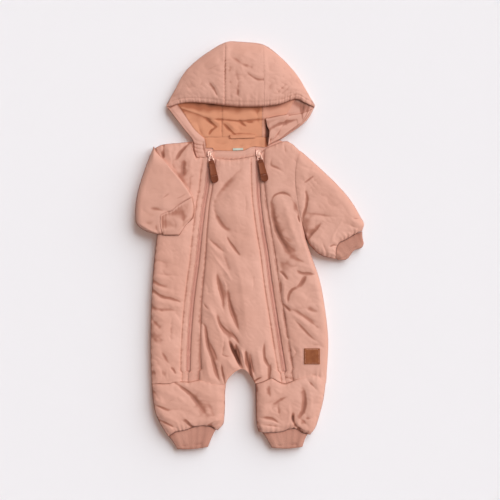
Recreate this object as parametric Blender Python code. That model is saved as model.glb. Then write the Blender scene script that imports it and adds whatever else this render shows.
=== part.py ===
"""A baby's padded, hooded snowsuit with two front zips, laid flat on its back.

The suit lies as it was smoothed down: back panel on the surface, front panels on the back,
hood open towards the viewer, one sleeve folded over the chest with its mitten flap on top,
the other reaching out to a ribbed cuff.  Left is -X and right is +X, the hood is at +Y and
the surface is the plane z = 0.

Every cloth piece is a padded wall.  A panel is one wall between four boundary curves; a tube
(leg, sleeve, cuff) is a wall that runs round a flat slot and is open at both ends.  The tables
hold real sizes in millimetres, and the meshes are made in metres.
"""

import math

import bmesh
import bpy
import numpy as np
from mathutils import Matrix, Vector
from mathutils.bvhtree import BVHTree

MM = 0.001
SEAM = 0.3              # gap between two pieces that are sewn together

# levels above the surface
BACK_WALL = 7.0         # the back's padded wall
LAID = BACK_WALL + 0.4  # underside of whatever lies on the back
FRONT_CROWN = 17.0
HEM_TOP = 10.6          # the flat, stitched hem beside a zip
SIDE_EDGE = 8.8         # top of the front's wall at the side seam
KNEE_TOP = 12.0
SHOULDER_TOP = 12.0
LEG_CROWN = 19.0
SLEEVE_CROWN = 18.5
CUFF_CROWN = 10.5
HOOD_EDGE = 9.2         # the hood's upper layer along its outline
HOOD_CROWN = 30.2
HOOD_RIM_TOP = 24.2     # the rim stands open at this level in the middle
SLOT = 7.8              # where a tube's two sides meet when it is smoothed flat

# walls and widths
TUBE_WALL = 6.0
CUFF_WALL = 3.0
HOOD_WALL = 4.5
LINING_THICK = 1.7
HEM_WIDE = 9.0
RIB_HIGH = 0.8
TAPE_HALF = 3.4         # half of the zip tape that shows between its two hems
ZIP_END_Y = -214.0
KNEE_Y = -235.0
NECK_Y = 184.0

# ---------------------------------------------------------------- boundary curves (x, y)

SIDE_LEFT = [(-157, 165), (-155, 136), (-152, 94), (-154, 51), (-158, 16), (-163, -29),
             (-166, -68), (-168, -110), (-169, -170), (-167, -235)]
ZIP_LEFT = [(-71.5, 164), (-74, 119), (-78, 77), (-83, 26), (-88, -29), (-93, -68),
            (-97.5, -110), (-102, -170), (-104.5, -235)]
ZIP_RIGHT = [(13.5, 165), (14, 119), (16, 77), (22.5, 26), (29.5, -17), (36, -68),
             (42.5, -110), (52, -170), (62.5, -235)]
SIDE_RIGHT = [(84, 161), (77, 124), (79, 90), (85.5, 51), (96, 9), (106, -21), (119, -59),
              (126.5, -97), (132.5, -144), (133.5, -178), (130, -235)]
CROTCH = [(-40.3, KNEE_Y), (-28.4, -221.5), (-14.8, -208.8), (-1.2, -219), (9.3, KNEE_Y)]
NECK_POINT_LEFT = (-98, 176)
NECK_POINT_RIGHT = (58, 176.5)

HOOD_CORNER_LEFT = (-140.5, 235)
HOOD_CORNER_RIGHT = (110, 234.5)
HOOD_ARC = {
    "left": [(-140.8, 238), (-128, 263), (-109, 296), (-78, 323.5), (-42, 345.2)],
    "centre": [(-42, 345.2), (-14, 345.9), (23, 341.5)],
    "right": [(23, 341.5), (51, 321.5), (78.5, 292), (97, 262.5), (110.3, 237.5)],
}
HOOD_RIM = {
    "left": [HOOD_CORNER_LEFT, (-107.5, 242), (-69, 240), (-42, 236.5)],
    "centre": [(-42, 236.5), (-13.5, 234.3), (25, 235)],
    "right": [(25, 235), (51, 239), (78.5, 248), (93.5, 242), HOOD_CORNER_RIGHT],
}
HOOD_FRONT_LEFT = [HOOD_CORNER_LEFT, (-115, 202), (-97, 179)]
HOOD_FRONT_RIGHT = [HOOD_CORNER_RIGHT, (93.5, 209), (53, 180)]
HOOD_MIDDLE_X = -15.5
HOOD_HALF = 128.0

LEG_LEFT = {
    "left": [(-167.3, -235.3), (-165.2, -263), (-161, -285), (-151, -307), (-138.4, -326)],
    "right": [(-40.3, -235.3), (-40.3, -272), (-44.7, -301.6), (-57.8, -317)],
    "end": [(-138.4, -326), (-125, -316), (-95, -310), (-57.8, -317)],
    "cuff_end": [(-124.1, -347.1), (-97, -346.8), (-70.7, -343.2)],
}
LEG_RIGHT = {
    "left": [(9.3, -235.3), (10, -263), (11.6, -299), (22.4, -318.6)],
    "right": [(129.7, -235.3), (125.5, -263), (120, -285), (111, -310), (97.5, -325)],
    "end": [(22.4, -318.6), (42, -312), (74, -313), (97.5, -325)],
    "cuff_end": [(36.7, -344.6), (63, -346), (90.1, -343.2)],
}
SLEEVE_RIGHT = {
    "upper": [(84.3, 161.3), (92, 156), (120.2, 130.6), (150.4, 101.7), (173.2, 74.5),
              (188.4, 48.6), (194.5, 36.4), (191.6, 24.6)],
    "lower": [(97.5, 8.8), (101.5, 1), (113, -11.5), (124, -18), (134.8, -20.5)],
    "end": [(191.6, 24.6), (166, 9), (143.5, -6.5)],
    "overhang": [(143.5, -6.5), (138, -12.5), (134.8, -20.5)],
    "cuff_end": [(194.5, 3.1), (189.9, -4.6), (165.6, -24.3), (158.1, -23.5)],
}
SLEEVE_LEFT = {
    "outer": [(-163.4, 168), (-174.2, 141), (-187.2, 103), (-193.1, 76), (-194.6, 49),
              (-192, 35), (-177.5, 24), (-161, 18.5)],
    "inner": [(-149.3, 148), (-134, 131), (-115, 109), (-98, 84), (-95, 65), (-98, 48),
              (-108, 36), (-120, 19)],
}
MITTEN = {
    "gathered": [(-150.8, 49.6), (-125, 65), (-96.4, 78.5)],
    "end": [(-145.7, 17), (-132, 16.6), (-118.5, 17)],
    "left": [(-150.8, 49.6), (-149, 33), (-145.7, 17)],
    "right": [(-96.4, 78.5), (-93, 60), (-104.5, 40), (-118.5, 17)],
}

# ---------------------------------------------------------------- largest folds
# from (x, y), to (x, y), bow to the left of that way, half width, height (a minus is a trough)

FOLDS = {
    "front_centre": [
        ((-60, 20), (-18, -32), 0, 7, -2.4),
        ((-50, -20), (-30, -60), -3, 10, 2.0),
        ((-52, -30), (-38, -105), 0, 8, -2.2),
        ((-70, -105), (-34, -150), 2, 8, 2.2),
        ((-64, -62), (-12, -190), -6, 8, -2.6),
        ((-84, -140), (-70, -188), 2, 7, -2.6),
        ((-70, -150), (-38, -222), -4, 9, 2.4),
        ((-60, -160), (-34, -214), 0, 7, -2.6),
        ((-30, -158), (-20, -203), 0, 6, -4.4),
        ((-8, -165), (-6, -208), 0, 8, 3.0),
        ((6, -172), (4, -214), 0, 6, -3.8),
        ((20, 120), (-40, 60), 6, 12, -2.0),
        ((-45, 60), (-10, 90), 0, 18, 1.6),
        ((-6, -60), (0, -150), 0, 16, 1.6),
        ((24, -150), (32, -216), 0, 8, 2.0),
    ],
    "front_left": [
        ((-166, -40), (-96, -62), 4, 7, -2.6),
        ((-166, -56), (-118, -72), 0, 9, 2.0),
        ((-168, -110), (-130, -150), 3, 10, -2.0),
        ((-165, -190), (-125, -214), 2, 9, 2.2),
        ((-150, -165), (-118, -206), 0, 7, -2.0),
        ((-140, -20), (-105, -28), 0, 10, 1.5),
        ((-110, 166), (-118, 124), 0, 7, -2.6),
    ],
    "front_right": [
        ((55, 88), (100, -24), 3, 13, 9.0),
        ((36, 84), (70, -14), -10, 7, -4.0),
        ((62, -10), (86, -52), 3, 15, 2.6),
        ((50, -62), (104, -52), 0, 8, -2.6),
        ((58, -96), (112, -88), 3, 9, 2.2),
        ((64, -116), (124, -160), 2, 7, -2.4),
        ((72, -108), (128, -140), 0, 8, 2.0),
        ((52, -100), (60, -130), 0, 6, -2.2),
        ((40, 140), (66, 112), 4, 10, 2.2),
    ],
    "leg_left": [
        ((-136, -240), (-62, -292), -6, 10, -3.4),
        ((-120, -236), (-52, -262), 4, 12, 2.0),
        ((-160, -272), (-112, -292), 2, 8, -2.6),
        ((-152, -292), (-98, -318), 0, 8, 2.6),
        ((-96, -292), (-84, -314), 0, 7, -3.6),
        ((-66, -312), (-46, -302), 0, 7, -3.0),
    ],
    "leg_right": [
        ((24, -244), (76, -236), -8, 8, -2.8),
        ((76, -236), (110, -262), 3, 10, -2.4),
        ((90, -262), (76, -306), -4, 9, -4.0),
        ((104, -262), (96, -300), 0, 12, 2.4),
        ((30, -285), (60, -302), 2, 8, -2.2),
        ((66, -300), (92, -322), -2, 6, -3.2),
        ((44, -258), (64, -276), 0, 10, 2.0),
    ],
    "sleeve_right": [
        ((90, 70), (97, 4), -5, 9, -3.6),
        ((100, -4), (122, 22), 0, 8, -3.0),
        ((110, 40), (160, 34), 2, 14, 2.4),
        ((122, 108), (142, 92), 0, 8, -1.8),
        ((140, 2), (186, 34), 4, 9, 2.2),
    ],
    "sleeve_left": [
        ((-190, 40), (-166, 24), 0, 9, 1.8),
        ((-150, 118), (-150, 80), 0, 18, 1.4),
        ((-152, 138), (-160, 112), 0, 7, -2.0),
    ],
    "hood_left": [
        ((-84, 290), (-48, 240), 3, 8, -2.4),
        ((-120, 262), (-74, 262), 3, 12, 2.0),
    ],
    "hood_centre": [
        ((-34, 322), (20, 300), -4, 9, 2.2),
        ((-32, 304), (10, 280), -4, 9, -2.4),
        ((-20, 266), (-8, 238), 0, 8, -2.0),
    ],
    "hood_right": [
        ((30, 292), (70, 262), 3, 12, 2.2),
        ((48, 262), (62, 240), 0, 8, -2.0),
    ],
    "lining": [
        ((-100, 226), (70, 222), 14, 7, 2.0),
        ((-78, 206), (-60, 192), 0, 7, -0.6),
        ((-44, 214), (-22, 190), 3, 7, 1.6),
    ],
}

MATERIALS = {
    # name: (linear colour, roughness, metallic)
    "shell": ((0.66, 0.34, 0.25), 0.62, 0.0),
    "lining": ((0.68, 0.33, 0.20), 0.8, 0.0),
    "rib": ((0.50, 0.24, 0.17), 0.85, 0.0),
    "zip_tape": ((0.56, 0.27, 0.20), 0.7, 0.0),
    "metal": ((0.80, 0.46, 0.36), 0.3, 0.9),
    "leather": ((0.22, 0.065, 0.03), 0.5, 0.0),
    "patch_leather": ((0.32, 0.11, 0.05), 0.55, 0.0),
    "label": ((0.80, 0.82, 0.78), 0.8, 0.0),
}

SUIT = bpy.data.objects.new("suit", None)
PIECES = {}

# ---------------------------------------------------------------- curves and grids


def curve(points, places):
    """A smooth curve through the points, read at a number of even places or at given shares of it."""
    p = np.array(points, float)
    p = np.vstack([2 * p[0] - p[1], p, 2 * p[-1] - p[-2]])
    fine = []
    for a, b, c, d in zip(p, p[1:], p[2:], p[3:]):
        for t in np.linspace(0, 1, 12, endpoint=False):
            fine.append(0.5 * (2 * b + (c - a) * t + (2 * a - 5 * b + 4 * c - d) * t**2
                               + (3 * b - a - 3 * c + d) * t**3))
    fine = np.array(fine + [p[-2]])
    along = np.concatenate([[0], np.cumsum(np.linalg.norm(np.diff(fine, axis=0), axis=1))])
    shares = np.linspace(0, 1, places) if np.isscalar(places) else np.asarray(places)
    return np.stack([np.interp(shares * along[-1], along, fine[:, k]) for k in (0, 1)], axis=1)


def runs(points, cells):
    """Straight runs between the points, each cut into its own number of cells."""
    steps = [np.linspace(a, b, n, endpoint=False) for a, b, n in zip(points, points[1:], cells)]
    return np.vstack(steps + [np.array([points[-1]], float)])


def sewn_to(row, count, apart):
    """Even places along a row's own straight runs, moved off it to its right (or, below 0, its left)."""
    along = np.concatenate([[0], np.cumsum(np.linalg.norm(np.diff(row, axis=0), axis=1))])
    shares = np.linspace(0, along[-1], count)
    read = np.stack([np.interp(shares, along, row[:, k]) for k in (0, 1)], axis=1)
    slope = np.gradient(read, axis=0)
    right = np.stack([slope[:, 1], -slope[:, 0]], axis=1)
    return read + apart * right / np.linalg.norm(right, axis=1)[:, None]


def crowded(count, share=0.55):
    """Shares from 0 to 1 that are closer together at both ends, where a wall rolls to its seam."""
    t = np.linspace(0, 1, count)
    return t - share * np.sin(2 * np.pi * t) / (2 * np.pi)


def at_levels(points, ys):
    """The points of a side curve at the given y levels."""
    fine = curve(points, 300)
    fine = fine[np.argsort(fine[:, 1])]
    return np.stack([np.interp(ys, fine[:, 1], fine[:, 0]), ys], axis=1)


def coons(top, bottom, left, right):
    """A grid of plane points between four boundary curves that share their corners, top row first."""
    v = np.linspace(0, 1, len(left))[:, None, None]
    u = np.linalg.norm(top - top[0], axis=1) / np.linalg.norm(top[-1] - top[0])
    u = np.clip(u, 0, 1)[None, :, None]
    grid = ((1 - u) * left[:, None] + u * right[:, None] + (1 - v) * top + v * bottom
            - (1 - u) * (1 - v) * top[0] - u * (1 - v) * top[-1]
            - (1 - u) * v * bottom[0] - u * v * bottom[-1])
    grid[0], grid[-1], grid[:, 0], grid[:, -1] = top, bottom, left, right
    return grid


# ---------------------------------------------------------------- levels


def away(grid, side):
    """How far each point is from the grid's own edge on that side."""
    edge = {"left": grid[:, :1], "right": grid[:, -1:], "top": grid[:1], "bottom": grid[-1:]}
    return np.linalg.norm(grid - edge[side], axis=2)


def rise(distance, hem, reach):
    """0 on a seam and its flat hem, then up a quarter round to 1."""
    t = np.clip((distance - hem) / reach, 0, 1)
    return np.sqrt(1 - (1 - t) ** 2)


def crowned(grid, crown, edges):
    """Levels that swell to the crown and come down to each edge's (level, hem, reach)."""
    drop = 0
    for side, (level, hem, reach) in edges.items():
        drop = drop + ((crown - level) * (1 - rise(away(grid, side), hem, reach))) ** 4
    return crown - drop**0.25


def folded(grid, levels, folds):
    """The levels with each fold's ridge or trough added: round across, tapering at both ends."""
    for start, end, bow, half_wide, high in folds:
        a, b = np.array(start, float), np.array(end, float)
        normal = np.array([a[1] - b[1], b[0] - a[0]]) / np.linalg.norm(b - a)
        nearest = np.full(levels.shape, 1e9)
        place = np.zeros(levels.shape)
        for t in np.linspace(0, 1, 17):
            spot = a + (b - a) * t + normal * bow * 4 * t * (1 - t)
            gap = np.linalg.norm(grid - spot, axis=2)
            place = np.where(gap < nearest, t, place)
            nearest = np.minimum(gap, nearest)
        taper = np.sin(np.pi * np.clip(place, 0.04, 0.96)) ** 0.6
        levels = levels + high * taper * np.exp(-((nearest / half_wide) ** 2))
    return levels


def gathered(grid, levels, side, high, reach):
    """Small pleats across an edge that elastic or a rib draws in, every other column."""
    pleat = np.where(np.arange(grid.shape[1]) % 2 == 0, high, -high)[None, :]
    return levels + pleat * np.exp(-((away(grid, side) / reach) ** 2))


def resting(grid, pieces, around=6.0, gap=0.4, floor=0.0):
    """The underside of cloth laid on the pieces: just clear of the highest point near each place."""
    trees = [BVHTree.FromPolygons([v.co for v in PIECES[p].data.vertices],
                                  [f.vertices[:] for f in PIECES[p].data.polygons])
             for p in pieces]
    spots = [(0.0, 0.0)] + [(around * math.cos(k * math.pi / 4), around * math.sin(k * math.pi / 4))
                            for k in range(8)]
    levels = np.full(grid.shape[:2], float(floor))
    for r, row in enumerate(grid):
        for c, (x, y) in enumerate(row):
            for dx, dy in spots:
                for tree in trees:
                    hit = tree.ray_cast(Vector((x + dx, y + dy, 100)) * MM, Vector((0, 0, -1)))[0]
                    if hit is not None:
                        levels[r, c] = max(levels[r, c], hit.z / MM + gap)
    for _ in range(2):
        wide = np.pad(levels, 1, mode="edge")
        mean = (wide[:-2, 1:-1] + wide[2:, 1:-1] + wide[1:-1, :-2] + wide[1:-1, 2:]) / 4
        levels = np.maximum(levels, mean)
    return levels


# ---------------------------------------------------------------- solids


def material(name):
    made = bpy.data.materials.get(name)
    if made is None:
        colour, rough, metallic = MATERIALS[name]
        made = bpy.data.materials.new(name)
        made.use_nodes = True
        shader = made.node_tree.nodes["Principled BSDF"]
        shader.inputs["Base Color"].default_value = (*colour, 1)
        shader.inputs["Roughness"].default_value = rough
        shader.inputs["Metallic"].default_value = metallic
    return made


def solid(name, slot, points, faces, parent=None, on_surface=True):
    """One closed body in metres; on a level surface, its underside becomes a few large faces."""
    built = bmesh.new()
    verts = [built.verts.new(Vector(p) * MM) for p in points]
    for face in faces:
        built.faces.new([verts[i] for i in face])
    bmesh.ops.recalc_face_normals(built, faces=built.faces)
    if on_surface:
        level = {f for f in built.faces
                 if f.normal.z < -0.5 and len({round(v.co.z, 7) for v in f.verts}) == 1}
        inner = [e for e in built.edges if len(e.link_faces) == 2 and set(e.link_faces) <= level]
        bmesh.ops.dissolve_limit(built, angle_limit=math.radians(0.2), edges=inner,
                                 verts=list({v for e in inner for v in e.verts}))
    mesh = bpy.data.meshes.new(name)
    built.to_mesh(mesh)
    built.free()
    mesh.materials.append(material(slot))
    mesh.shade_smooth()
    mesh.set_sharp_from_angle(angle=math.radians(40))
    made = bpy.data.objects.new(name, mesh)
    bpy.context.scene.collection.objects.link(made)
    made.parent = parent or SUIT
    PIECES[name] = made
    return made


def panel(name, slot, grid, top, under, least=0.8, on_surface=True):
    """One wall: a grid of plane points with a level for its upper and for its under surface."""
    rows, cols = grid.shape[:2]
    under = np.broadcast_to(under, (rows, cols))
    top = np.maximum(top, under + least)
    points = [(*grid[r, c], top[r, c]) for r in range(rows) for c in range(cols)]
    points += [(*grid[r, c], under[r, c]) for r in range(rows) for c in range(cols)]
    below = rows * cols
    faces = []
    for r in range(rows - 1):
        for c in range(cols - 1):
            a = r * cols + c
            faces.append((a, a + 1, a + cols + 1, a + cols))
            faces.append((below + a, below + a + cols, below + a + cols + 1, below + a + 1))
    rim = [c for c in range(cols)] + [r * cols + cols - 1 for r in range(1, rows)]
    rim += [(rows - 1) * cols + c for c in range(cols - 2, -1, -1)]
    rim += [r * cols for r in range(rows - 2, 0, -1)]
    for a, b in zip(rim, rim[1:] + rim[:1]):
        faces.append((a, below + a, below + b, b))
    return solid(name, slot, points, faces, on_surface=on_surface)


def tube(name, slot, grid, crown, wall, slot_high, start, end, folds=(), gathers=0.0, ribs=0.0,
         seam=SLOT, reach=16.0):
    """A tube smoothed flat: its rings are the grid's rows, over the top and back underneath.

    The inside is a thin level slot that is open at both ends.  Start and end are the levels that
    its first and last ring come down to, where they are sewn on.
    """
    rows, cols = grid.shape[:2]
    wide = np.linalg.norm(grid[:, -1] - grid[:, 0], axis=1)[:, None]
    reach = np.minimum(reach, 0.3 * wide)
    side = np.minimum(rise(away(grid, "left"), 0, reach), rise(away(grid, "right"), 0, reach))
    crown = crown - (crown - start) * (1 - rise(away(grid, "top"), 0, 18.0))
    crown = crown - (crown - end) * (1 - rise(away(grid, "bottom"), 0, 22.0))
    top = folded(grid, seam + (crown - seam) * side, folds)
    if gathers:
        top = gathered(grid, top, "bottom", gathers, 16.0)
    top = np.maximum(top, seam + 0.55 * wall * side)
    roll = np.minimum(rise(away(grid, "left"), 0, 7.0), rise(away(grid, "right"), 0, 7.0))
    low = seam * (1 - roll)
    if ribs:
        ridge = (np.arange(cols) % 2)[None, :]
        top = top + ribs * ridge * side
        low = low + ribs * (1 - ridge) * roll
    inset = np.clip(wall / wide, 0, 0.3)
    steps = np.linalg.norm(np.diff(grid, axis=1), axis=2)
    share = np.hstack([np.zeros((rows, 1)), np.cumsum(steps, axis=1)])
    share = share / share[:, -1:]
    inner = grid.copy()
    for r in range(rows):
        places = inset[r] + share[r] * (1 - 2 * inset[r])
        inner[r] = np.stack([np.interp(places, share[r], grid[r, :, k]) for k in (0, 1)], axis=1)
    half = slot_high / 2 * (0.2 + 0.8 * np.sin(np.pi * share))
    outer_ring = np.concatenate([np.dstack([grid, top]), np.dstack([grid, low])[:, -2:0:-1]], axis=1)
    inner_ring = np.concatenate([np.dstack([inner, seam + half]),
                                 np.dstack([inner, seam - half])[:, -2:0:-1]], axis=1)
    points = [tuple(p) for p in np.vstack([outer_ring.reshape(-1, 3), inner_ring.reshape(-1, 3)])]
    ring = outer_ring.shape[1]
    inside = rows * ring
    faces = []
    for r in range(rows):
        for k in range(ring):
            a, b = r * ring + k, r * ring + (k + 1) % ring
            if r < rows - 1:
                faces.append((a, b, b + ring, a + ring))
                faces.append((inside + a, inside + a + ring, inside + b + ring, inside + b))
            if r in (0, rows - 1):
                faces.append((a, inside + a, inside + b, b))
    return solid(name, slot, points, faces)


# ---------------------------------------------------------------- body


def zip_gap(ys):
    """Half of the gap between a zip's two hems: the tape's width, closed below the zip's end."""
    return np.where(ys > ZIP_END_Y, TAPE_HALF, 0.0) + SEAM / 2


def beside_zip(points, ys, way):
    """A panel's edge along a zip, on its left (-1) or right (+1)."""
    edge = at_levels(points, ys)
    edge[:, 0] += way * zip_gap(ys)
    return edge


def body_levels(top_y, count=31):
    """The rows' y levels: even down to the zip's end, and three more from there to the knee seam."""
    return np.concatenate([np.linspace(top_y, ZIP_END_Y + 0.5, count), [-216, -226, KNEE_Y]])


def build_back():
    ys = np.linspace(165, KNEE_Y, 18)
    left = at_levels(SIDE_LEFT, ys)
    right = at_levels(SIDE_RIGHT, np.linspace(161, KNEE_Y, 18))
    neck = NECK_Y - SEAM / 2
    top = runs([left[0], NECK_POINT_LEFT, (-74, neck), (31, neck), NECK_POINT_RIGHT, right[0]],
               [3, 2, 6, 2, 2])
    bottom = runs([left[-1], *CROTCH, right[-1]], [5, 1, 1, 1, 1, 6])
    grid = coons(top, bottom, left, right)
    under = 2.6 * (1 - np.minimum(rise(away(grid, "left"), 0, 6), rise(away(grid, "right"), 0, 6)))
    panel("back", "shell", grid, np.full(under.shape, BACK_WALL), under)


def build_fronts():
    # left: from the side seam, along the shoulder and down the neck seam, to the left zip
    ys = body_levels(149.0)
    right = beside_zip(ZIP_LEFT, ys, -1)
    left = at_levels(SIDE_LEFT, body_levels(165.0))
    top = np.vstack([curve([left[0], (-147, 171), (-122, 173.5), NECK_POINT_LEFT], 6)[:-1],
                     runs([NECK_POINT_LEFT, (-95.3, 160), (-91.2, 149.2), right[0]], [2, 1, 3])])
    bottom = left[-1] + (right[-1] - left[-1]) * crowded(len(top))[:, None]
    grid = coons(top, bottom, left, right)
    edges = {"left": (SIDE_EDGE, 0, 14), "right": (HEM_TOP, HEM_WIDE, 12),
             "top": (SHOULDER_TOP, 0, 12), "bottom": (KNEE_TOP, 0, 10)}
    levels = folded(grid, crowned(grid, FRONT_CROWN, edges), FOLDS["front_left"])
    panel("front_left", "shell", grid, levels, LAID)

    # right: from the right zip to the armhole and the side seam
    ys = body_levels(152.0)
    left = beside_zip(ZIP_RIGHT, ys, 1)
    right = at_levels(SIDE_RIGHT, body_levels(161.0))
    top = np.vstack([runs([left[0], (22, 160), (31, 166.4)], [1, 2])[:-1],
                     curve([(31, 166.4), NECK_POINT_RIGHT, (72, 172), right[0]], 10)])
    bottom = left[-1] + (right[-1] - left[-1]) * crowded(len(top))[:, None]
    grid = coons(top, bottom, left, right)
    edges = {"left": (HEM_TOP, HEM_WIDE, 12), "right": (SIDE_EDGE, 0, 14),
             "top": (SHOULDER_TOP, 0, 12), "bottom": (KNEE_TOP, 0, 10)}
    levels = folded(grid, crowned(grid, FRONT_CROWN, edges), FOLDS["front_right"])
    panel("front_right", "shell", grid, levels, LAID)

    # centre: between the zips, down to the crotch
    left = beside_zip(ZIP_LEFT, body_levels(149.0), 1)
    right = beside_zip(ZIP_RIGHT, body_levels(152.0), -1)
    cells = [5, 1, 1, 1, 1, 4]
    bottom = runs([left[-1], *CROTCH, right[-1]], cells)
    top = curve([left[0], (-28, 146), right[0]], sum(cells) + 1)
    grid = coons(top, bottom, left, right)
    edges = {"left": (HEM_TOP, HEM_WIDE, 12), "right": (HEM_TOP, HEM_WIDE, 12),
             "top": (HEM_TOP, 0, 12), "bottom": (KNEE_TOP, 0, 12)}
    levels = folded(grid, crowned(grid, FRONT_CROWN, edges), FOLDS["front_centre"])
    panel("front_centre", "shell", grid, levels, LAID)

    # the bound neck edge along the centre panel's top
    bound = curve([(-67.4, 157.5), (-45, 155.2), (-25, 154), (-8, 155.8), (9.6, 160)], 10)
    lower = curve([left[0], (-28, 146), right[0]], 10) + [0, SEAM]
    grid = np.stack([bound, (bound + lower) / 2, lower])
    levels = np.array([9.8, 11.4, 10.4])[:, None] * np.ones((1, 10))
    levels[1, [0, 1, -2, -1]] = [10.0, 10.6, 10.6, 10.0]
    panel("neck_binding", "shell", grid, levels, LAID)


def build_zips():
    """Each zip is a tape with its coil along the middle, lying between the two hems."""
    for name, points, top_y in (("zip_left", ZIP_LEFT, 162.5), ("zip_right", ZIP_RIGHT, 163.5)):
        ys = np.linspace(top_y, ZIP_END_Y + 0.9, 24)
        centre = at_levels(points, ys)
        offsets = np.array([-TAPE_HALF + 0.15, -1.7, -1.1, 1.1, 1.7, TAPE_HALF - 0.15])
        grid = centre[:, None, :] + np.stack([offsets, np.zeros(6)], axis=1)[None]
        levels = np.array([8.6, 8.6, 9.9, 9.9, 8.6, 8.6])[None, :] * np.ones((len(ys), 1))
        panel(name, "zip_tape", grid, levels, LAID)


def build_legs():
    for side, shape, cols in (("left", LEG_LEFT, 14), ("right", LEG_RIGHT, 14)):
        rows = 11
        left, right = curve(shape["left"], rows), curve(shape["right"], rows)
        top = left[0] + (right[0] - left[0]) * crowded(cols)[:, None]
        bottom = curve(shape["end"], crowded(cols, 0.3))
        grid = coons(top, bottom, left, right)
        tube(f"leg_{side}", "shell", grid, LEG_CROWN, TUBE_WALL, 2.6, KNEE_TOP, 14.5,
             folds=FOLDS[f"leg_{side}"], gathers=1.1)
        ribs = 27
        top = sewn_to(bottom, ribs, 2 * SEAM)
        bottom = curve(shape["cuff_end"], ribs)
        steps = np.linspace(0, 1, 4)[:, None, None]
        grid = top * (1 - steps) + bottom * steps
        tube(f"ankle_cuff_{side}", "rib", grid, CUFF_CROWN, CUFF_WALL, 3.0, CUFF_CROWN, CUFF_CROWN - 1,
             ribs=RIB_HIGH, seam=5.0, reach=9.0)


def build_sleeves():
    shape = SLEEVE_RIGHT
    rows, cols = 12, 14
    top = at_levels(SIDE_RIGHT, 161.3 + (8.8 - 161.3) * crowded(cols, 0.4)) + [4 * SEAM, 0]
    left, right = curve(shape["upper"], rows), curve(shape["lower"], rows)
    left[0], right[0] = top[0], top[-1]
    seam = curve(shape["end"], cols - 3)
    bottom = np.vstack([seam[:-1], curve(shape["overhang"], 4)])
    grid = coons(top, bottom, left, right)
    tube("sleeve_right", "shell", grid, SLEEVE_CROWN, TUBE_WALL, 2.6, SIDE_EDGE + 1.2, 14.0,
         folds=FOLDS["sleeve_right"], gathers=1.0)
    ribs = 29
    top = sewn_to(seam, ribs, -2 * SEAM)
    bottom = curve(shape["cuff_end"], ribs)
    steps = np.linspace(0, 1, 4)[:, None, None]
    grid = top * (1 - steps) + bottom * steps
    tube("cuff_right", "rib", grid, CUFF_CROWN, CUFF_WALL, 3.0, CUFF_CROWN, CUFF_CROWN - 1,
         ribs=RIB_HIGH, seam=5.0, reach=9.0)

    # the left sleeve is folded over the chest: its layers are one solid that steps up onto the front
    rows, cols = 17, 12
    left, right = curve(SLEEVE_LEFT["outer"], rows), curve(SLEEVE_LEFT["inner"], rows)
    top = runs([left[0], right[0]], [cols - 1])
    bottom = runs([left[-1], right[-1]], [cols - 1])
    grid = coons(top, bottom, left, right)
    under = resting(grid, ["front_left", "back"])
    off_body = np.clip((-148 - grid[..., 0]) / 30, 0, 1)
    crown = 26.5 - 8.0 * off_body
    edges = {"left": (8.6, 0, 15), "right": (19.5, 0, 12), "top": (11.5, 0, 36),
             "bottom": (17.5, 0, 14)}
    levels = folded(grid, crowned(grid, crown, edges), FOLDS["sleeve_left"])
    tuck = 3.0 * (1 - rise(away(grid, "left"), 0, 7)) * (under < 0.5)
    panel("sleeve_left", "shell", grid, levels, under + tuck, least=2.0, on_surface=False)
    shape = MITTEN
    rows, cols = 7, 12
    left, right = curve(shape["left"], rows), curve(shape["right"], rows)
    grid = coons(curve(shape["gathered"], cols), curve(shape["end"], cols), left, right)
    under = resting(grid, ["sleeve_left", "front_left"], around=4.5)
    edges = {"left": (1.4, 0, 8), "right": (1.4, 0, 10), "top": (2.0, 0, 6), "bottom": (1.4, 0, 8)}
    thick = gathered(grid, crowned(grid, 4.4, edges), "top", 0.7, 10.0)
    panel("mitten_left", "shell", grid, under + thick, under, on_surface=False)


# ---------------------------------------------------------------- hood and neck


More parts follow.
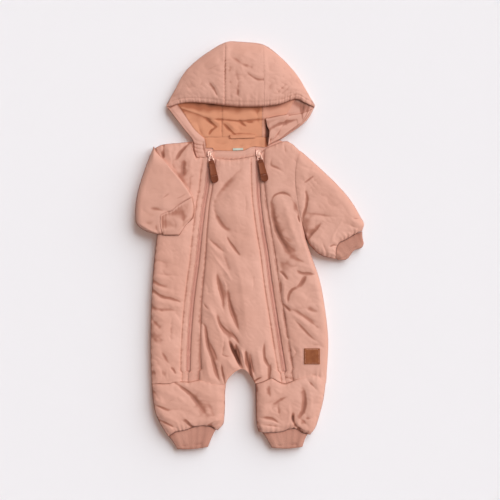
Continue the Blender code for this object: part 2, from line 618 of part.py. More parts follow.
def build_hood():
    # the layer on the surface, from the neck seam to the crown
    neck = NECK_Y + SEAM / 2
    left = curve([(-139.8, 240.5), *HOOD_FRONT_LEFT], 7)
    right = curve([(109.5, 240), *HOOD_FRONT_RIGHT], 7)
    arc = HOOD_ARC["left"][1:-1] + HOOD_ARC["centre"] + HOOD_ARC["right"][1:-1]
    top = curve([left[0], *arc, right[0]], 21)
    bottom = runs([left[-1], (-74, neck), (31, neck), right[-1]], [4, 12, 4])
    grid = coons(top, bottom, left, right)
    rolls = [rise(away(grid, edge), 0, 6) for edge in ("left", "right", "top")]
    under = 2.6 * (1 - np.minimum.reduce(rolls))
    panel("hood_back", "shell", grid, np.full(under.shape, BACK_WALL), under)

    # the upper layer: three panels, held open along the rim
    for side, cols in (("left", 11), ("centre", 9), ("right", 11)):
        top, rim = curve(HOOD_ARC[side], cols), curve(HOOD_RIM[side], cols)
        sewn = {"left": side != "left", "right": side != "right"}
        if sewn["left"]:
            top[0, 0] += SEAM / 2
            rim[0, 0] += SEAM / 2
        if sewn["right"]:
            top[-1, 0] -= SEAM / 2
            rim[-1, 0] -= SEAM / 2
        grid = coons(top, rim, curve([top[0], rim[0]], 11), curve([top[-1], rim[-1]], 11))
        middle = np.clip(1 - ((grid[..., 0] - HOOD_MIDDLE_X) / HOOD_HALF) ** 2, 0, 1) ** 0.7
        crown = HOOD_EDGE + (HOOD_CROWN - HOOD_EDGE) * middle
        rim_level = HOOD_EDGE + (HOOD_RIM_TOP - HOOD_EDGE) * middle
        over_arc = (crown - HOOD_EDGE) * (1 - rise(away(grid, "top"), 0, 48))
        over_rim = (crown - rim_level) * (1 - rise(away(grid, "bottom"), 0, 30))
        levels = crown - (over_arc**4 + over_rim**4) ** 0.25
        for edge in ("left", "right"):
            if sewn[edge]:
                levels = levels - 1.8 * (1 - rise(away(grid, edge), 0, 9))
        levels = folded(grid, levels, FOLDS[f"hood_{side}"])
        levels = gathered(grid, levels, "bottom", 0.7, 10.0)
        wall = 1.7 + (HOOD_WALL - 1.7) * rise(away(grid, "top"), 0, 12)
        panel(f"hood_{side}", "shell", grid, levels, np.maximum(levels - wall, LAID))


def build_lining():
    """The lining where it shows: three panels inside the hood and a strip inside the neck."""
    upper, lower = 262.0, NECK_Y + SEAM / 2
    seams = [(-95.5, -70.2), (-47.0, -47.0), (21.0, 21.0), (86.0, 40.0)]
    for (side, cols), first, second in zip((("left", 6), ("centre", 8), ("right", 7)), seams, seams[1:]):
        left = runs([(first[0] + SEAM / 2, upper), (first[1] + SEAM / 2, lower)], [9])
        right = runs([(second[0] - SEAM / 2, upper), (second[1] - SEAM / 2, lower)], [9])
        top, bottom = runs([left[0], right[0]], [cols - 1]), runs([left[-1], right[-1]], [cols - 1])
        grid = coons(top, bottom, left, right)
        levels = folded(grid, np.full(grid.shape[:2], LAID + LINING_THICK), FOLDS["lining"])
        panel(f"lining_{side}", "lining", grid, levels, LAID)

    # inside the neck, from the neck seam down to the binding and the zips' upper ends
    upper = runs([(-71.4, NECK_Y - SEAM / 2), (30.5, NECK_Y - SEAM / 2)], [14])
    low = np.array([(-74.2, 163.0), (-67.4, 163.0), (-66.2, 158.3), (-55, 157.0), (-45, 156.0),
                    (-35, 155.2), (-25, 154.8), (-15, 155.6), (-6, 156.8), (2, 158.8),
                    (9.3, 160.8), (10.2, 164.0), (17.6, 164.0), (24, 164.6), (30.5, 167.0)])
    grid = coons(upper, low, curve([upper[0], low[0]], 5), curve([upper[-1], low[-1]], 5))
    panel("neck_back", "lining", grid, np.full(grid.shape[:2], LAID + 1.4), LAID)


def build_facings():
    """Shell-coloured facings: a strip down the hood's left edge and a flap folded in on the right."""
    rows = 15
    left = curve([(-139.5, 232.5), (-115, 201), (-97.3, 178), (-94.9, 161), (-90.8, 149.6)], rows)
    right = curve([(-112, 240), (-88, 209), (-73.5, 184), (-75.6, 163), (-76.2, 149.6)], rows)
    cols = 6
    top, bottom = runs([left[0], right[0]], [cols - 1]), runs([left[-1], right[-1]], [cols - 1])
    grid = coons(top, bottom, left, right)
    edges = {"left": (9.0, 0, 8), "right": (9.2, 0, 8), "bottom": (10.2, 0, 8), "top": (9.0, 0, 8)}
    panel("facing_left", "shell", grid, crowned(grid, 11.2, edges), LAID)

    grid = coons(curve([(27.7, 214.5), (86, 224), (109, 232.8)], 9),
                 curve([(31.3, 169.5), (42, 175.5), (53.5, 180.5)], 9),
                 curve([(27.7, 214.5), (28.6, 192), (31.3, 169.5)], 8),
                 curve([(109, 232.8), (93, 209), (53.5, 180.5)], 8))
    under = resting(grid, ["lining_right", "lining_centre", "hood_back", "back", "neck_back"],
                    around=5.0, gap=0.6, floor=LAID)
    under = under + 1.6 * (1 - rise(away(grid, "left"), 0, 14))
    edges = {"left": (3.0, 0, 8), "right": (2.4, 0, 10), "bottom": (2.4, 0, 8), "top": (3.0, 0, 8)}
    panel("facing_right", "shell", grid, under + crowned(grid, 4.4, edges), under, on_surface=False)


def build_trims():
    # hanger loop: a narrow tape that stands a little off the neck
    middle = curve([(-33.5, 185.6), (-23, 182.8), (-8, 181.2), (9, 181.4)], 9)
    slope = np.gradient(middle, axis=0)
    normal = np.stack([-slope[:, 1], slope[:, 0]], axis=1)
    normal /= np.linalg.norm(normal, axis=1)[:, None]
    grid = np.stack([middle + 3 * normal, middle - 3 * normal])
    lift = 1.6 * np.sin(np.linspace(0, np.pi, 9))[None, :]
    base = resting(grid, ["lining_left", "lining_centre", "neck_back"], around=3.0)
    base = np.maximum(base.max(axis=0)[None, :], 0) * np.ones((2, 1))
    panel("hanger_loop", "shell", grid, base + lift + 1.2, base + lift)
    grid = np.array([[(-8, 163.5), (3.6, 163.9)], [(-8, 157.0), (3.6, 160.0)]])
    under = resting(grid, ["neck_back"], around=1.0)
    panel("neck_label", "label", grid, under + 0.8, under)

    # the square patch follows the front's own surface
    xs, ys = np.linspace(92.5, 118.8, 8), np.linspace(-174.8, -202.1, 8)
    grid = np.stack(np.meshgrid(xs, ys), axis=2)
    corner = 1.6
    for r, y in ((0, -1), (-1, 1)):
        for c, x in ((0, 1), (-1, -1)):
            grid[r, c] += [corner * x * 0.6, corner * y * 0.6]
    under = resting(grid, ["front_right"], around=2.8, gap=0.3)
    panel("patch", "patch_leather", grid, under + 1.6, under, on_surface=False)


# ---------------------------------------------------------------- sliders and pulls

# x and y of the pull's axis, its turn from straight down and its lift over the panel (degrees)
PULLS = {"left": (-71.0, 151.5, 13.1, 4.0), "right": (14.2, 153.5, 13.6, 4.5)}
AXIS_Z = 15.2
PLATE_LOW, PLATE_TOP = 10.95, 13.35
PLATE = [(-3.9, 7.5), (3.9, 7.5), (4.3, 5.5), (4.3, -1.0), (3.0, -5.5), (-3.0, -5.5), (-4.3, -1.0),
         (-4.3, 5.5)]
BRIDGE = [(-2.9, 13.0), (-2.9, 15.4), (-1.9, 17.4), (1.9, 17.4), (2.9, 15.4), (2.9, 13.0),
          (1.5, 13.0), (1.5, 16.3), (-1.5, 16.3), (-1.5, 13.0)]
BRIDGE_HALF = 1.1
WIRE = 1.4
LOOP_HALF = 3.6         # to the wire's centre
LOOP_LONG = 9.0         # from the axis to the wire that carries the tab
LOOP_CORNER = 1.5
TAB_BORE = 1.05
TAB = [                 # distance from the axis, half width, half thickness
    (6.9, 2.6, 0.6), (7.6, 2.6, 1.6), (9.0, 2.6, 2.1), (10.6, 2.6, 1.7), (13.0, 3.2, 1.35),
    (30.0, 4.8, 1.3), (42.0, 5.8, 1.3), (45.5, 5.2, 1.3), (47.3, 3.6, 1.2), (48.0, 1.8, 1.0),
]


def prism(outline, low, high, along):
    """A closed mesh: the outline drawn in the other two axes, from low to high along x or z."""
    place = {"x": lambda a, p, q: (a, p, q), "z": lambda a, p, q: (p, q, a)}[along]
    n = len(outline)
    built = bmesh.new()
    verts = [built.verts.new(Vector(place(a, p, q)) * MM) for a in (low, high) for p, q in outline]
    built.faces.new(verts[:n])
    built.faces.new(verts[n:])
    for k in range(n):
        built.faces.new((verts[k], verts[(k + 1) % n], verts[n + (k + 1) % n], verts[n + k]))
    bmesh.ops.recalc_face_normals(built, faces=built.faces)
    mesh = bpy.data.meshes.new("prism")
    built.to_mesh(mesh)
    built.free()
    return mesh


def combined(made, operation, mesh):
    """Join the mesh to an object, or cut it out of it, in the object's own frame."""
    tool = bpy.data.objects.new(f"{made.name}_{operation.lower()}", mesh)
    bpy.context.scene.collection.objects.link(tool)
    tool.parent = made
    tool.hide_render = True
    tool.display_type = "WIRE"
    step = made.modifiers.new(tool.name, "BOOLEAN")
    step.operation = operation
    step.object = tool


def build_slider(side):
    """A plate over the coil and a bridge on it, whose window holds the pull's wire."""
    x, y = PULLS[side][:2]
    mesh = prism(PLATE, PLATE_LOW, PLATE_TOP, "z")
    mesh.name = f"slider_{side}"
    mesh.materials.append(material("metal"))
    made = bpy.data.objects.new(f"slider_{side}", mesh)
    bpy.context.scene.collection.objects.link(made)
    made.parent = SUIT
    made.location = Vector((x, y, 0)) * MM
    combined(made, "UNION", prism(BRIDGE, -BRIDGE_HALF, BRIDGE_HALF, "x"))


def build_pull(side):
    """The wire loop and the leather tab on it, both about the axis in the slider's bridge."""
    x, y, turn, lift = PULLS[side]
    hinge = bpy.data.objects.new(f"pull_{side}_hinge", None)
    bpy.context.scene.collection.objects.link(hinge)
    hinge.parent = SUIT
    hinge.location = Vector((x, y, AXIS_Z)) * MM
    hinge.rotation_euler = (math.radians(-lift), 0, math.radians(turn))

    # the loop: a round wire bent into a rectangle with round corners
    reach, near, far = LOOP_HALF - LOOP_CORNER, -LOOP_CORNER, LOOP_CORNER - LOOP_LONG
    path = []
    for cx, cy, start in ((reach, near, 90), (reach, far, 0), (-reach, far, -90), (-reach, near, -180)):
        for step in (0, 30, 60, 90):
            angle = math.radians(start - step)
            path.append((cx + LOOP_CORNER * math.cos(angle), cy + LOOP_CORNER * math.sin(angle)))
    path = np.array(path)
    count, sides = len(path), 8
    points, faces = [], []
    for k in range(count):
        ahead = path[(k + 1) % count] - path[k - 1]
        out = np.array([ahead[1], -ahead[0]]) / np.linalg.norm(ahead)
        for s in range(sides):
            angle = 2 * math.pi * s / sides
            off = out * WIRE / 2 * math.cos(angle)
            points.append((*(path[k] + off), WIRE / 2 * math.sin(angle)))
            here, after, turned = k * sides + s, ((k + 1) % count) * sides + s, (s + 1) % sides - s
            faces.append((here, here + turned, after + turned, after))
    solid(f"pull_{side}", "metal", points, faces, parent=hinge)

    # the tab: a strip folded round the loop's far wire, wide and round at its end
    points = [(w * sx, -d, t * sz) for d, w, t in TAB for sx, sz in ((-1, -1), (1, -1), (1, 1), (-1, 1))]
    last = 4 * len(TAB) - 4
    faces = [(0, 1, 2, 3), (last + 3, last + 2, last + 1, last)]
    for k in range(len(TAB) - 1):
        for s in range(4):
            a, b = 4 * k + s, 4 * k + (s + 1) % 4
            faces.append((a, b, b + 4, a + 4))
    made = solid(f"tab_{side}", "leather", points, faces, parent=hinge)
    bore = [(TAB_BORE * math.cos(math.radians(a)) - LOOP_LONG, TAB_BORE * math.sin(math.radians(a)))
            for a in range(0, 360, 45)]
    combined(made, "DIFFERENCE", prism(bore, -8, 8, "x"))


def main():
    for old in list(bpy.data.objects):
        if old is not SUIT:
            bpy.data.objects.remove(old)
    bpy.context.scene.collection.objects.link(SUIT)
    build_back()
    build_fronts()
    build_zips()
    build_legs()
    build_sleeves()
    build_hood()
    build_lining()
    build_facings()
    build_trims()
    for side in PULLS:
        build_slider(side)
        build_pull(side)


main()
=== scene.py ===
# %% [markdown]
# # A baby's padded snowsuit, laid flat
#
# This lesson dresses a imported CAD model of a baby's hooded snowsuit. The CAD model gives every
# piece its place and its main form. Here each one gets what makes it cloth: the creases that
# lying and folding press into a thin shell over wadding, puckers along the seams, topstitching,
# zip coils, ribbed cuffs, leather with stitched edges, and finishes that react to light.
#
# The suit lies on its back on a table. Left is -X, right is +X, the hood is at +Y, and the table
# is the plane z = 0. Tables hold millimetres, and meshes are made in metres.

# %% Load the frame
import math
import bmesh
import bpy
import numpy as np
from mathutils import Matrix, Vector
from mathutils.bvhtree import BVHTree


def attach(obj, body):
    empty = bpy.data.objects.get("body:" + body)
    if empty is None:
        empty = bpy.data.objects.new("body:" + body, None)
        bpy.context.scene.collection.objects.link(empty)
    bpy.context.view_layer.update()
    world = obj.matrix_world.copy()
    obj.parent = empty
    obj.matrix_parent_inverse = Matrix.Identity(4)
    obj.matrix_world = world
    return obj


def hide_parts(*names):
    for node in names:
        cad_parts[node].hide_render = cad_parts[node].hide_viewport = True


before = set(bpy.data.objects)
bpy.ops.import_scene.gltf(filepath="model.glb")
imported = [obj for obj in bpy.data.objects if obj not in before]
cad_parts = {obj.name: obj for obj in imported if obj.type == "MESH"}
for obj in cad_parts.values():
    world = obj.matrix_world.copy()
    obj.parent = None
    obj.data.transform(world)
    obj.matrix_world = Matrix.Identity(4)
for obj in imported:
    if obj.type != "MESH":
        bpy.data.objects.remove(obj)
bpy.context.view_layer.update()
MM = 0.001

# %% [markdown]
# ## Camera, table and light
#
# The suit is looked at from straight above, from far enough that sleeves and hood keep their
# true proportions: a long lens two metres up. It could also be an orthographic camera, but a
# real lens keeps the slight growth of the hood's crown, which lies nearer to it.
#
# A soft key light comes from the right and a little from above the hood, so every fold has a
# bright side and a dark side. A large lamp indoors would do, but a sun lamp with a wide angle
# lights the whole table evenly. The world fills in. The table has a wide, low lamp of its own,
# which light linking keeps off the suit: it draws the broad soft shadow to the lower left that
# a row of studio lamps near the table's edge would, and leaves the folds to the key light.
# The glow is a weak warm lamp from straight above, for the table only as well. It stands for the
# light that the cloth throws back onto the table round it.

# %% Camera
MIDDLE = Vector((0.5, -8.2, 0.0)) * MM      # the middle of the view on the table
VIEW_WIDE = 0.850
EYE_HIGH = 2.015
lens_data = bpy.data.cameras.new("camera")
camera = bpy.data.objects.new("camera", lens_data)
bpy.context.scene.collection.objects.link(camera)
camera.location = MIDDLE + Vector((0, 0, EYE_HIGH))
lens_data.sensor_width = 36.0
lens_data.lens = 36.0 * (EYE_HIGH - 0.010) / VIEW_WIDE
lens_data.clip_end = 20.0
bpy.context.scene.camera = camera

# %% Lamps, world and table
def sun(name, comes_from, strength, softness, colour):
    """A lamp so far away that the table is lit evenly; its softness is its width in degrees."""
    data = bpy.data.lights.new(name, "SUN")
    data.energy = strength
    data.angle = math.radians(softness)
    data.color = colour
    made = bpy.data.objects.new(name, data)
    bpy.context.scene.collection.objects.link(made)
    made.location = comes_from
    made.rotation_euler = Vector(comes_from).to_track_quat("Z", "Y").to_euler()
    return made


key = sun("key", (0.46, 0.34, 1.0), 2.30, 40.0, (0.985, 0.985, 1.0))
side = sun("side", (1.0, 0.55, 0.66), 1.05, 60.0, (0.985, 0.985, 1.0))
low = sun("low", (0.84, 0.82, 0.34), 7.5, 84.0, (0.835, 0.925, 0.982))
glow = sun("glow", (0.0, 0.0, 1.0), 0.44, 8.0, (1.0, 0.44, 0.25))

world = bpy.data.worlds.new("studio")
world.use_nodes = True
world.node_tree.nodes["Background"].inputs["Color"].default_value = (1.0, 0.925, 0.90, 1)
world.node_tree.nodes["Background"].inputs["Strength"].default_value = 0.225
bpy.context.scene.world = world
bpy.context.scene.view_settings.view_transform = "Standard"

bpy.ops.object.select_all(action="DESELECT")
bpy.ops.mesh.primitive_plane_add(size=6.0, location=(0, 0, -0.0004))
table = bpy.context.active_object
table.name = "table"
lit_low, lit_high = (bpy.data.collections.new(name) for name in ("lit by low", "lit by key and side"))
for lit in (lit_low, lit_high):
    lit.objects.link(table)
lit_high.collection_objects[0].light_linking.link_state = "EXCLUDE"
low.light_linking.receiver_collection = lit_low
glow.light_linking.receiver_collection = lit_low
key.light_linking.receiver_collection = lit_high
side.light_linking.receiver_collection = lit_high

# %% [markdown]
# ## How a finish is written
#
# A finish is a small network of shader nodes. Written as plain sums it is easier to read than as
# links, so `Value` wraps a number socket and turns `a * b + 1` into Math nodes, and `Finish`
# holds one material and adds every other node in one method: its type, its settings, then its
# sockets. Every pattern reads Object coordinates in metres, so weave and grain keep their real
# size on each piece.

# %% The helpers
class Value:
    """A number socket that Python's operators can use."""

    def __init__(self, finish, socket):
        self.finish = finish
        self.socket = socket

    def joined(self, operation, *others):
        node = self.finish.node("ShaderNodeMath", {"operation": operation})
        for place, item in enumerate((self, *others)):
            self.finish.feed(node.inputs[place], item)
        return Value(self.finish, node.outputs[0])

    def turned(self, operation, first):
        node = self.finish.node("ShaderNodeMath", {"operation": operation})
        self.finish.feed(node.inputs[0], first)
        self.finish.feed(node.inputs[1], self)
        return Value(self.finish, node.outputs[0])

    def __add__(self, other):
        return self.joined("ADD", other)

    def __radd__(self, other):
        return self.turned("ADD", other)

    def __sub__(self, other):
        return self.joined("SUBTRACT", other)

    def __rsub__(self, other):
        return self.turned("SUBTRACT", other)

    def __mul__(self, other):
        return self.joined("MULTIPLY", other)

    def __rmul__(self, other):
        return self.turned("MULTIPLY", other)

    def __truediv__(self, other):
        return self.joined("DIVIDE", other)

    def __pow__(self, other):
        return self.joined("POWER", other)

    def sine(self):
        return self.joined("SINE")

    def size(self):
        return self.joined("ABSOLUTE")

    def above(self, low, high):
        """0 below low, 1 above high and smooth between them."""
        node = self.finish.node("ShaderNodeMapRange", {"interpolation_type": "SMOOTHSTEP"},
                                {"Value": self, "From Min": low, "From Max": high})
        return Value(self.finish, node.outputs["Result"])


class Finish:
    """One material, and the pieces that it is on."""

    def __init__(self, name, colour, rough, **constants):
        self.made = bpy.data.materials.new(name)
        self.made.use_nodes = True
        self.tree = self.made.node_tree
        self.shader = self.tree.nodes["Principled BSDF"]
        self.shader.inputs["Base Color"].default_value = (*colour, 1)
        self.shader.inputs["Roughness"].default_value = rough
        sockets = {socket.name.lower().replace(" ", "_"): socket for socket in self.shader.inputs}
        for socket, value in constants.items():
            sockets[socket].default_value = value
        self.place = self.node("ShaderNodeTexCoord").outputs["Object"]

    def feed(self, socket, item):
        """Links a socket or a Value to a node's socket, or sets it to a number or a colour."""
        if isinstance(item, Value):
            item = item.socket
        if isinstance(item, bpy.types.NodeSocket):
            self.tree.links.new(item, socket)
        elif isinstance(item, tuple) and len(item) == 3 and socket.type == "RGBA":
            socket.default_value = (*item, 1)
        else:
            socket.default_value = item

    def node(self, kind, settings=None, sockets=None):
        made = self.tree.nodes.new(kind)
        for name, value in (settings or {}).items():
            setattr(made, name, value)
        for name, item in (sockets or {}).items():
            self.feed(made.inputs[name], item)
        return made

    def stretched(self, scale, turn=0.0):
        """Object coordinates, scaled on each axis and turned about Z, for patterns with a direction."""
        return self.node("ShaderNodeMapping", {},
                         {"Vector": self.place, "Rotation": (0, 0, turn), "Scale": scale}).outputs[0]

    def noise(self, scale, detail=2.0, place=None, rough=0.5):
        made = self.node("ShaderNodeTexNoise", {},
                         {"Vector": place or self.place, "Scale": scale, "Detail": detail,
                          "Roughness": rough})
        return Value(self, made.outputs["Fac"])

    def axis(self, letter, place=None):
        made = self.node("ShaderNodeSeparateXYZ", {}, {"Vector": place or self.place})
        return Value(self, made.outputs[letter])

    def attribute(self, name):
        return Value(self, self.node("ShaderNodeAttribute", {"attribute_name": name}).outputs["Fac"])

    def blend(self, share, first, second, how="MIX"):
        made = self.node("ShaderNodeMix", {"data_type": "RGBA", "blend_type": how})
        for place, item in ((0, share), (6, first), (7, second)):
            self.feed(made.inputs[place], item)
        return made.outputs[2]

    def finish(self, colour=None, rough=None, height=None, depth=0.0002, strength=1.0):
        """Feeds what changes over the surface; height is a bump, depth its metres from 0 to 1."""
        if colour is not None:
            self.feed(self.shader.inputs["Base Color"], colour)
        if rough is not None:
            self.feed(self.shader.inputs["Roughness"], rough)
        if height is not None:
            bump = self.node("ShaderNodeBump", {}, {"Height": height, "Distance": depth,
                                                    "Strength": strength})
            self.feed(self.shader.inputs["Normal"], bump.outputs[0])
        return self

    def on(self, *pieces):
        for piece in pieces:
            piece.data.materials.clear()
            piece.data.materials.append(self.made)


# %% [markdown]
# ## The finishes
#
# The shell is a fine matt taffeta: threads about 0.4 mm apart, a soft sheen, and faint streaks
# where the cloth was creased before. The weave is two sine patterns crossing, the streaks are
# noise stretched along two directions. A photograph of cloth could be mapped on instead, but a
# pattern worked out from coordinates has no seams and can be looked at from any distance.
# Each piece's hollow attribute adds painted shade: in creases and folds the colour is darkened
# and reddened, and inside slits it is painted near black as a painted shadow.

# %% Shell, lining and tape
def streaks(finish, long, fine, turn):
    """Thin old crease lines: where stretched noise crosses its middle value."""
    noise = finish.noise(1.0, 3.0, finish.stretched((fine, long, fine), turn), 0.6)
    return 1 - ((noise - 0.5).size() * 9.0).above(0.0, 1.0)


def woven(name, light, dark, rough, thread, streak=0.5, deep=(0.62, 0.47, 0.41), **constants):
    """A plain weave with its threads that far apart, mottled between two tones of its colour, with
    painted shade in its hollows.
    """
    made = Finish(name, light, rough, **constants)
    across = (made.axis("X") * (2 * math.pi / thread)).sine()
    along = (made.axis("Y") * (2 * math.pi / thread)).sine()
    weave = across * along * 0.5 + 0.5
    mottle = made.noise(11.0, 2.0)
    fibre = made.noise(900.0, 2.0)
    old = streaks(made, 14.0, 70.0, 0.9) * 0.5 + streaks(made, 70.0, 16.0, 0.35) * 0.5
    tone = (mottle * 0.85 + fibre * 0.15).above(0.25, 0.8)
    # Painted shade: above a hollow of 0.05 the colour is multiplied towards the tint deep, the redder
    # tone of cloth in its own shade. Above 1.3 it becomes a painted near-black shadow for slits.
    hollow = made.attribute("hollow")
    colour = made.blend(tone, dark, light)
    colour = made.blend(hollow.above(0.05, 1.3), colour, made.blend(1.0, colour, deep, "MULTIPLY"))
    colour = made.blend(hollow.above(1.3, 3.4), colour, (0.120, 0.032, 0.016))
    crinkle = made.noise(150.0, 3.0)
    height = weave * 0.25 + fibre * 0.1 - old * streak + crinkle * streak * 3.4
    made.finish(colour, (rough - 0.06) + fibre * 0.12, height, 0.00025, 0.45)
    return made


shell = woven("shell_taffeta", (0.705, 0.378, 0.290), (0.650, 0.330, 0.246), 0.56, 0.0005, 0.35,
              sheen_weight=0.06, sheen_roughness=0.4, specular_ior_level=0.3)
lining = woven("lining_jersey", (0.725, 0.330, 0.198), (0.665, 0.280, 0.160), 0.85, 0.0011, 0.12,
               sheen_weight=0.08, specular_ior_level=0.2)
lining_band = woven("lining_band_jersey", (0.720, 0.345, 0.240), (0.660, 0.300, 0.200),
                    0.8, 0.0011, 0.12,
                    sheen_weight=0.15)
tape = woven("zip_tape_weave", (0.800, 0.435, 0.342), (0.725, 0.370, 0.285), 0.7, 0.0008, 0.0)
thread = woven("sewing_thread", (0.780, 0.430, 0.330), (0.700, 0.360, 0.270), 0.6, 0.0002, 0.0)
label = woven("label_satin", (0.560, 0.590, 0.500), (0.480, 0.520, 0.430), 0.6, 0.0004, 0.0)

# %% [markdown]
# The cuffs are a rib knit. Their ribs are real ridges in the mesh, so the finish adds the knitted
# loops on them, a duller, slightly darker yarn, and painted shade where the knit lies in a fold.

# %% Rib knit
rib = Finish("rib_knit", (0.600, 0.300, 0.220), 0.9, sheen_weight=0.1)
loops = (rib.axis("Y") * (2 * math.pi / 0.0013)).sine() * (rib.axis("X") * (2 * math.pi / 0.0010)).sine()
fuzz = rib.noise(1300.0, 3.0)
shade = (rib.noise(22.0, 2.0) * 0.6 + fuzz * 0.4).above(0.3, 0.7)
knit = rib.blend(shade, (0.490, 0.222, 0.160), (0.580, 0.290, 0.214))
# Painted shade: where the hollow attribute is high, the knit is multiplied towards a darker, redder
# tint.
knit = rib.blend(rib.attribute("hollow").above(0.05, 1.3), knit,
                 rib.blend(1.0, knit, (0.60, 0.46, 0.41), "MULTIPLY"))
rib.finish(knit, None,
           loops * 0.3 + fuzz * 0.5, 0.0004, 0.6)

# %% [markdown]
# Leather has two scales: a pebbled grain under a millimetre, and slow patches where handling has
# polished and darkened it. The grain is a Voronoi pattern, whose cells look like the small
# plates of real hide. Metal here is a thin pink lacquer over a casting: nearly smooth, with fine
# scratches that only change how sharp its highlights are.

# %% Leather and metal
def hide(name, light, dark, rough, grain):
    made = Finish(name, light, rough, specular_ior_level=0.12)
    cells = made.node("ShaderNodeTexVoronoi", {"feature": "SMOOTH_F1"},
                      {"Vector": made.place, "Scale": grain, "Smoothness": 0.5})
    pebble = Value(made, cells.outputs["Distance"])
    patches = made.noise(95.0, 4.0)
    edge = made.attribute("worn")
    tone = (patches * 1.1 + pebble * 0.25 + edge * 0.5 - 0.25).above(0.2, 0.85)
    made.finish(made.blend(tone, dark, light), rough + pebble * 0.15 - edge * 0.1,
                pebble * 0.8 + made.noise(2600.0, 2.0) * 0.2, 0.0003, 0.5)
    return made


tab_leather = hide("tab_leather", (0.240, 0.068, 0.030), (0.150, 0.036, 0.015), 0.5, 1500.0)
patch_leather = hide("patch_leather", (0.375, 0.130, 0.052), (0.250, 0.074, 0.030), 0.55, 1300.0)

metal = Finish("pink_metal", (0.900, 0.560, 0.450), 0.38, metallic=0.35)
scratch = metal.noise(1.0, 3.0, metal.stretched((400.0, 2500.0, 400.0), 0.5))
metal.finish(metal.blend(metal.noise(300.0, 2.0), (0.840, 0.480, 0.370), (0.930, 0.620, 0.510)),
             scratch * 0.25 + 0.28, scratch, 0.00003, 0.3)
print("finishes:", len(bpy.data.materials))

# %% The table's own finish
paper = Finish("table_paper", (0.86, 0.85, 0.86), 0.9)
paper.finish(None, None, paper.noise(180.0, 3.0), 0.0002, 0.1)
paper.on(table)

# %% [markdown]
# ## Cloth as a wall between curves
#
# Every padded piece is a closed wall: a grid of points between four boundary curves, with one
# level for the outer face and one for the face below. The grid is fine enough, 1.5 mm, for the
# creases to be real shape. A cloth simulation could wrinkle the walls too, but it would choose
# its own creases; this suit's show how it was folded, so they are listed one by one.
#
# First the plane part: smooth curves and the grid between them.

# %% Curves and grids
CELL = 1.5
SEAM = 0.3


def curve(points, places):
    """A smooth curve through the points, read at a number of even places or at given shares."""
    p = np.array(points, float)
    p = np.vstack([2 * p[0] - p[1], p, 2 * p[-1] - p[-2]])
    fine = []
    for a, b, c, d in zip(p, p[1:], p[2:], p[3:]):
        for t in np.linspace(0, 1, 16, endpoint=False):
            fine.append(0.5 * (2 * b + (c - a) * t + (2 * a - 5 * b + 4 * c - d) * t**2
                               + (3 * b - a - 3 * c + d) * t**3))
    return spread(np.array(fine + [p[-2]]), places)


def spread(row, places):
    """Even places, or given shares, along the straight runs of a row of points."""
    row = np.asarray(row, float)
    along = lengths(row)
    shares = np.linspace(0, 1, places) if np.isscalar(places) else np.asarray(places)
    return np.stack([np.interp(shares * along[-1], along, row[:, k])
                     for k in range(row.shape[1])], axis=1)


def lengths(row):
    return np.concatenate([[0], np.cumsum(np.linalg.norm(np.diff(row, axis=0), axis=1))])


def cells(points, least=3):
    """How many points a row along these needs for cells of the common size."""
    return max(least, int(round(lengths(np.asarray(points, float))[-1] / CELL)) + 1)


def at_levels(points, ys):
    """The points of a side curve at the given y levels."""
    fine = curve(points, 400)
    fine = fine[np.argsort(fine[:, 1])]
    return np.stack([np.interp(ys, fine[:, 1], fine[:, 0]), ys], axis=1)


def coons(top, bottom, left, right):
    """A grid of plane points between four boundary curves that share their corners."""
    v = np.linspace(0, 1, len(left))[:, None, None]
    u = np.linspace(0, 1, len(top))[None, :, None]
    grid = ((1 - u) * left[:, None] + u * right[:, None] + (1 - v) * top + v * bottom
            - (1 - u) * (1 - v) * top[0] - u * (1 - v) * top[-1]
            - (1 - u) * v * bottom[0] - u * v * bottom[-1])
    grid[0], grid[-1], grid[:, 0], grid[:, -1] = top, bottom, left, right
    return grid


# %% [markdown]
# Then the levels. Wadding swells a wall to a crown and every seam pulls it down, so a level
# falls from the crown to each edge along a quarter round. What keeps a form like this from
# looking moulded is uneven: creases at their own places, a slow billow where the wadding lies
# thicker, and ripples where a seam draws the cloth in.
#
# Real cloth also folds in under itself, which a wall that only goes up and down can't do. There
# the shape is left shallow and a table of shades tells how deep the fold is: the colour is darkened
# along each line as painted shade, from the faint side of a crease to a painted shadow inside a slit.

# %% Levels
def away(grid, side):
    """How far each point is from the grid's own edge on that side."""
    edge = {"left": grid[:, :1], "right": grid[:, -1:], "top": grid[:1], "bottom": grid[-1:]}
    return np.linalg.norm(grid - edge[side], axis=2)


def rise(distance, hem, reach):
    """0 on a seam and its flat hem, then up a quarter round to 1."""
    t = np.clip((distance - hem) / reach, 0, 1)
    return np.sqrt(1 - (1 - t) ** 2)


def crowned(grid, crown, edges):
    """Levels that swell to the crown and come down to each edge's (level, hem, reach)."""
    drop = 0
    for side, (level, hem, reach) in edges.items():
        drop = drop + ((crown - level) * (1 - rise(away(grid, side), hem, reach))) ** 4
    return crown - drop**0.25


def billows(grid, long, seed, squash=(1.0, 1.0), turn=0.0):
    """A smooth uneven surface of about -1 to 1, its hollows about that far apart."""
    draw = np.random.default_rng(seed)
    c, s = math.cos(turn), math.sin(turn)
    x = (grid[..., 0] * c + grid[..., 1] * s) / squash[0]
    y = (grid[..., 1] * c - grid[..., 0] * s) / squash[1]
    total = np.zeros(x.shape)
    for _ in range(14):
        way, phase = draw.uniform(0, 2 * math.pi, 2)
        k = 2 * math.pi / long * draw.uniform(0.6, 1.5)
        total += np.sin(k * (x * math.cos(way) + y * math.sin(way)) + phase)
    return total / 3.7


# %% Creases
def soft(points, high, wide):
    """A round ridge, or below 0 a round trough, along a line."""
    return points, high, wide, wide, 2.0


def pinch(points, high, wide):
    """A sharp crease: steepest at its own line."""
    return points, high, wide, wide, 1.2


def lap(points, high, left, right):
    """A fold that is steep on one side of its line and gentle on the other."""
    return points, high, left, right, 1.5


def row_parts(words):
    """A table row's points, written x,y, and the plain numbers before them."""
    points = [tuple(float(v) for v in word.split(",")) for word in words if "," in word]
    return points, [float(word) for word in words if "," not in word]


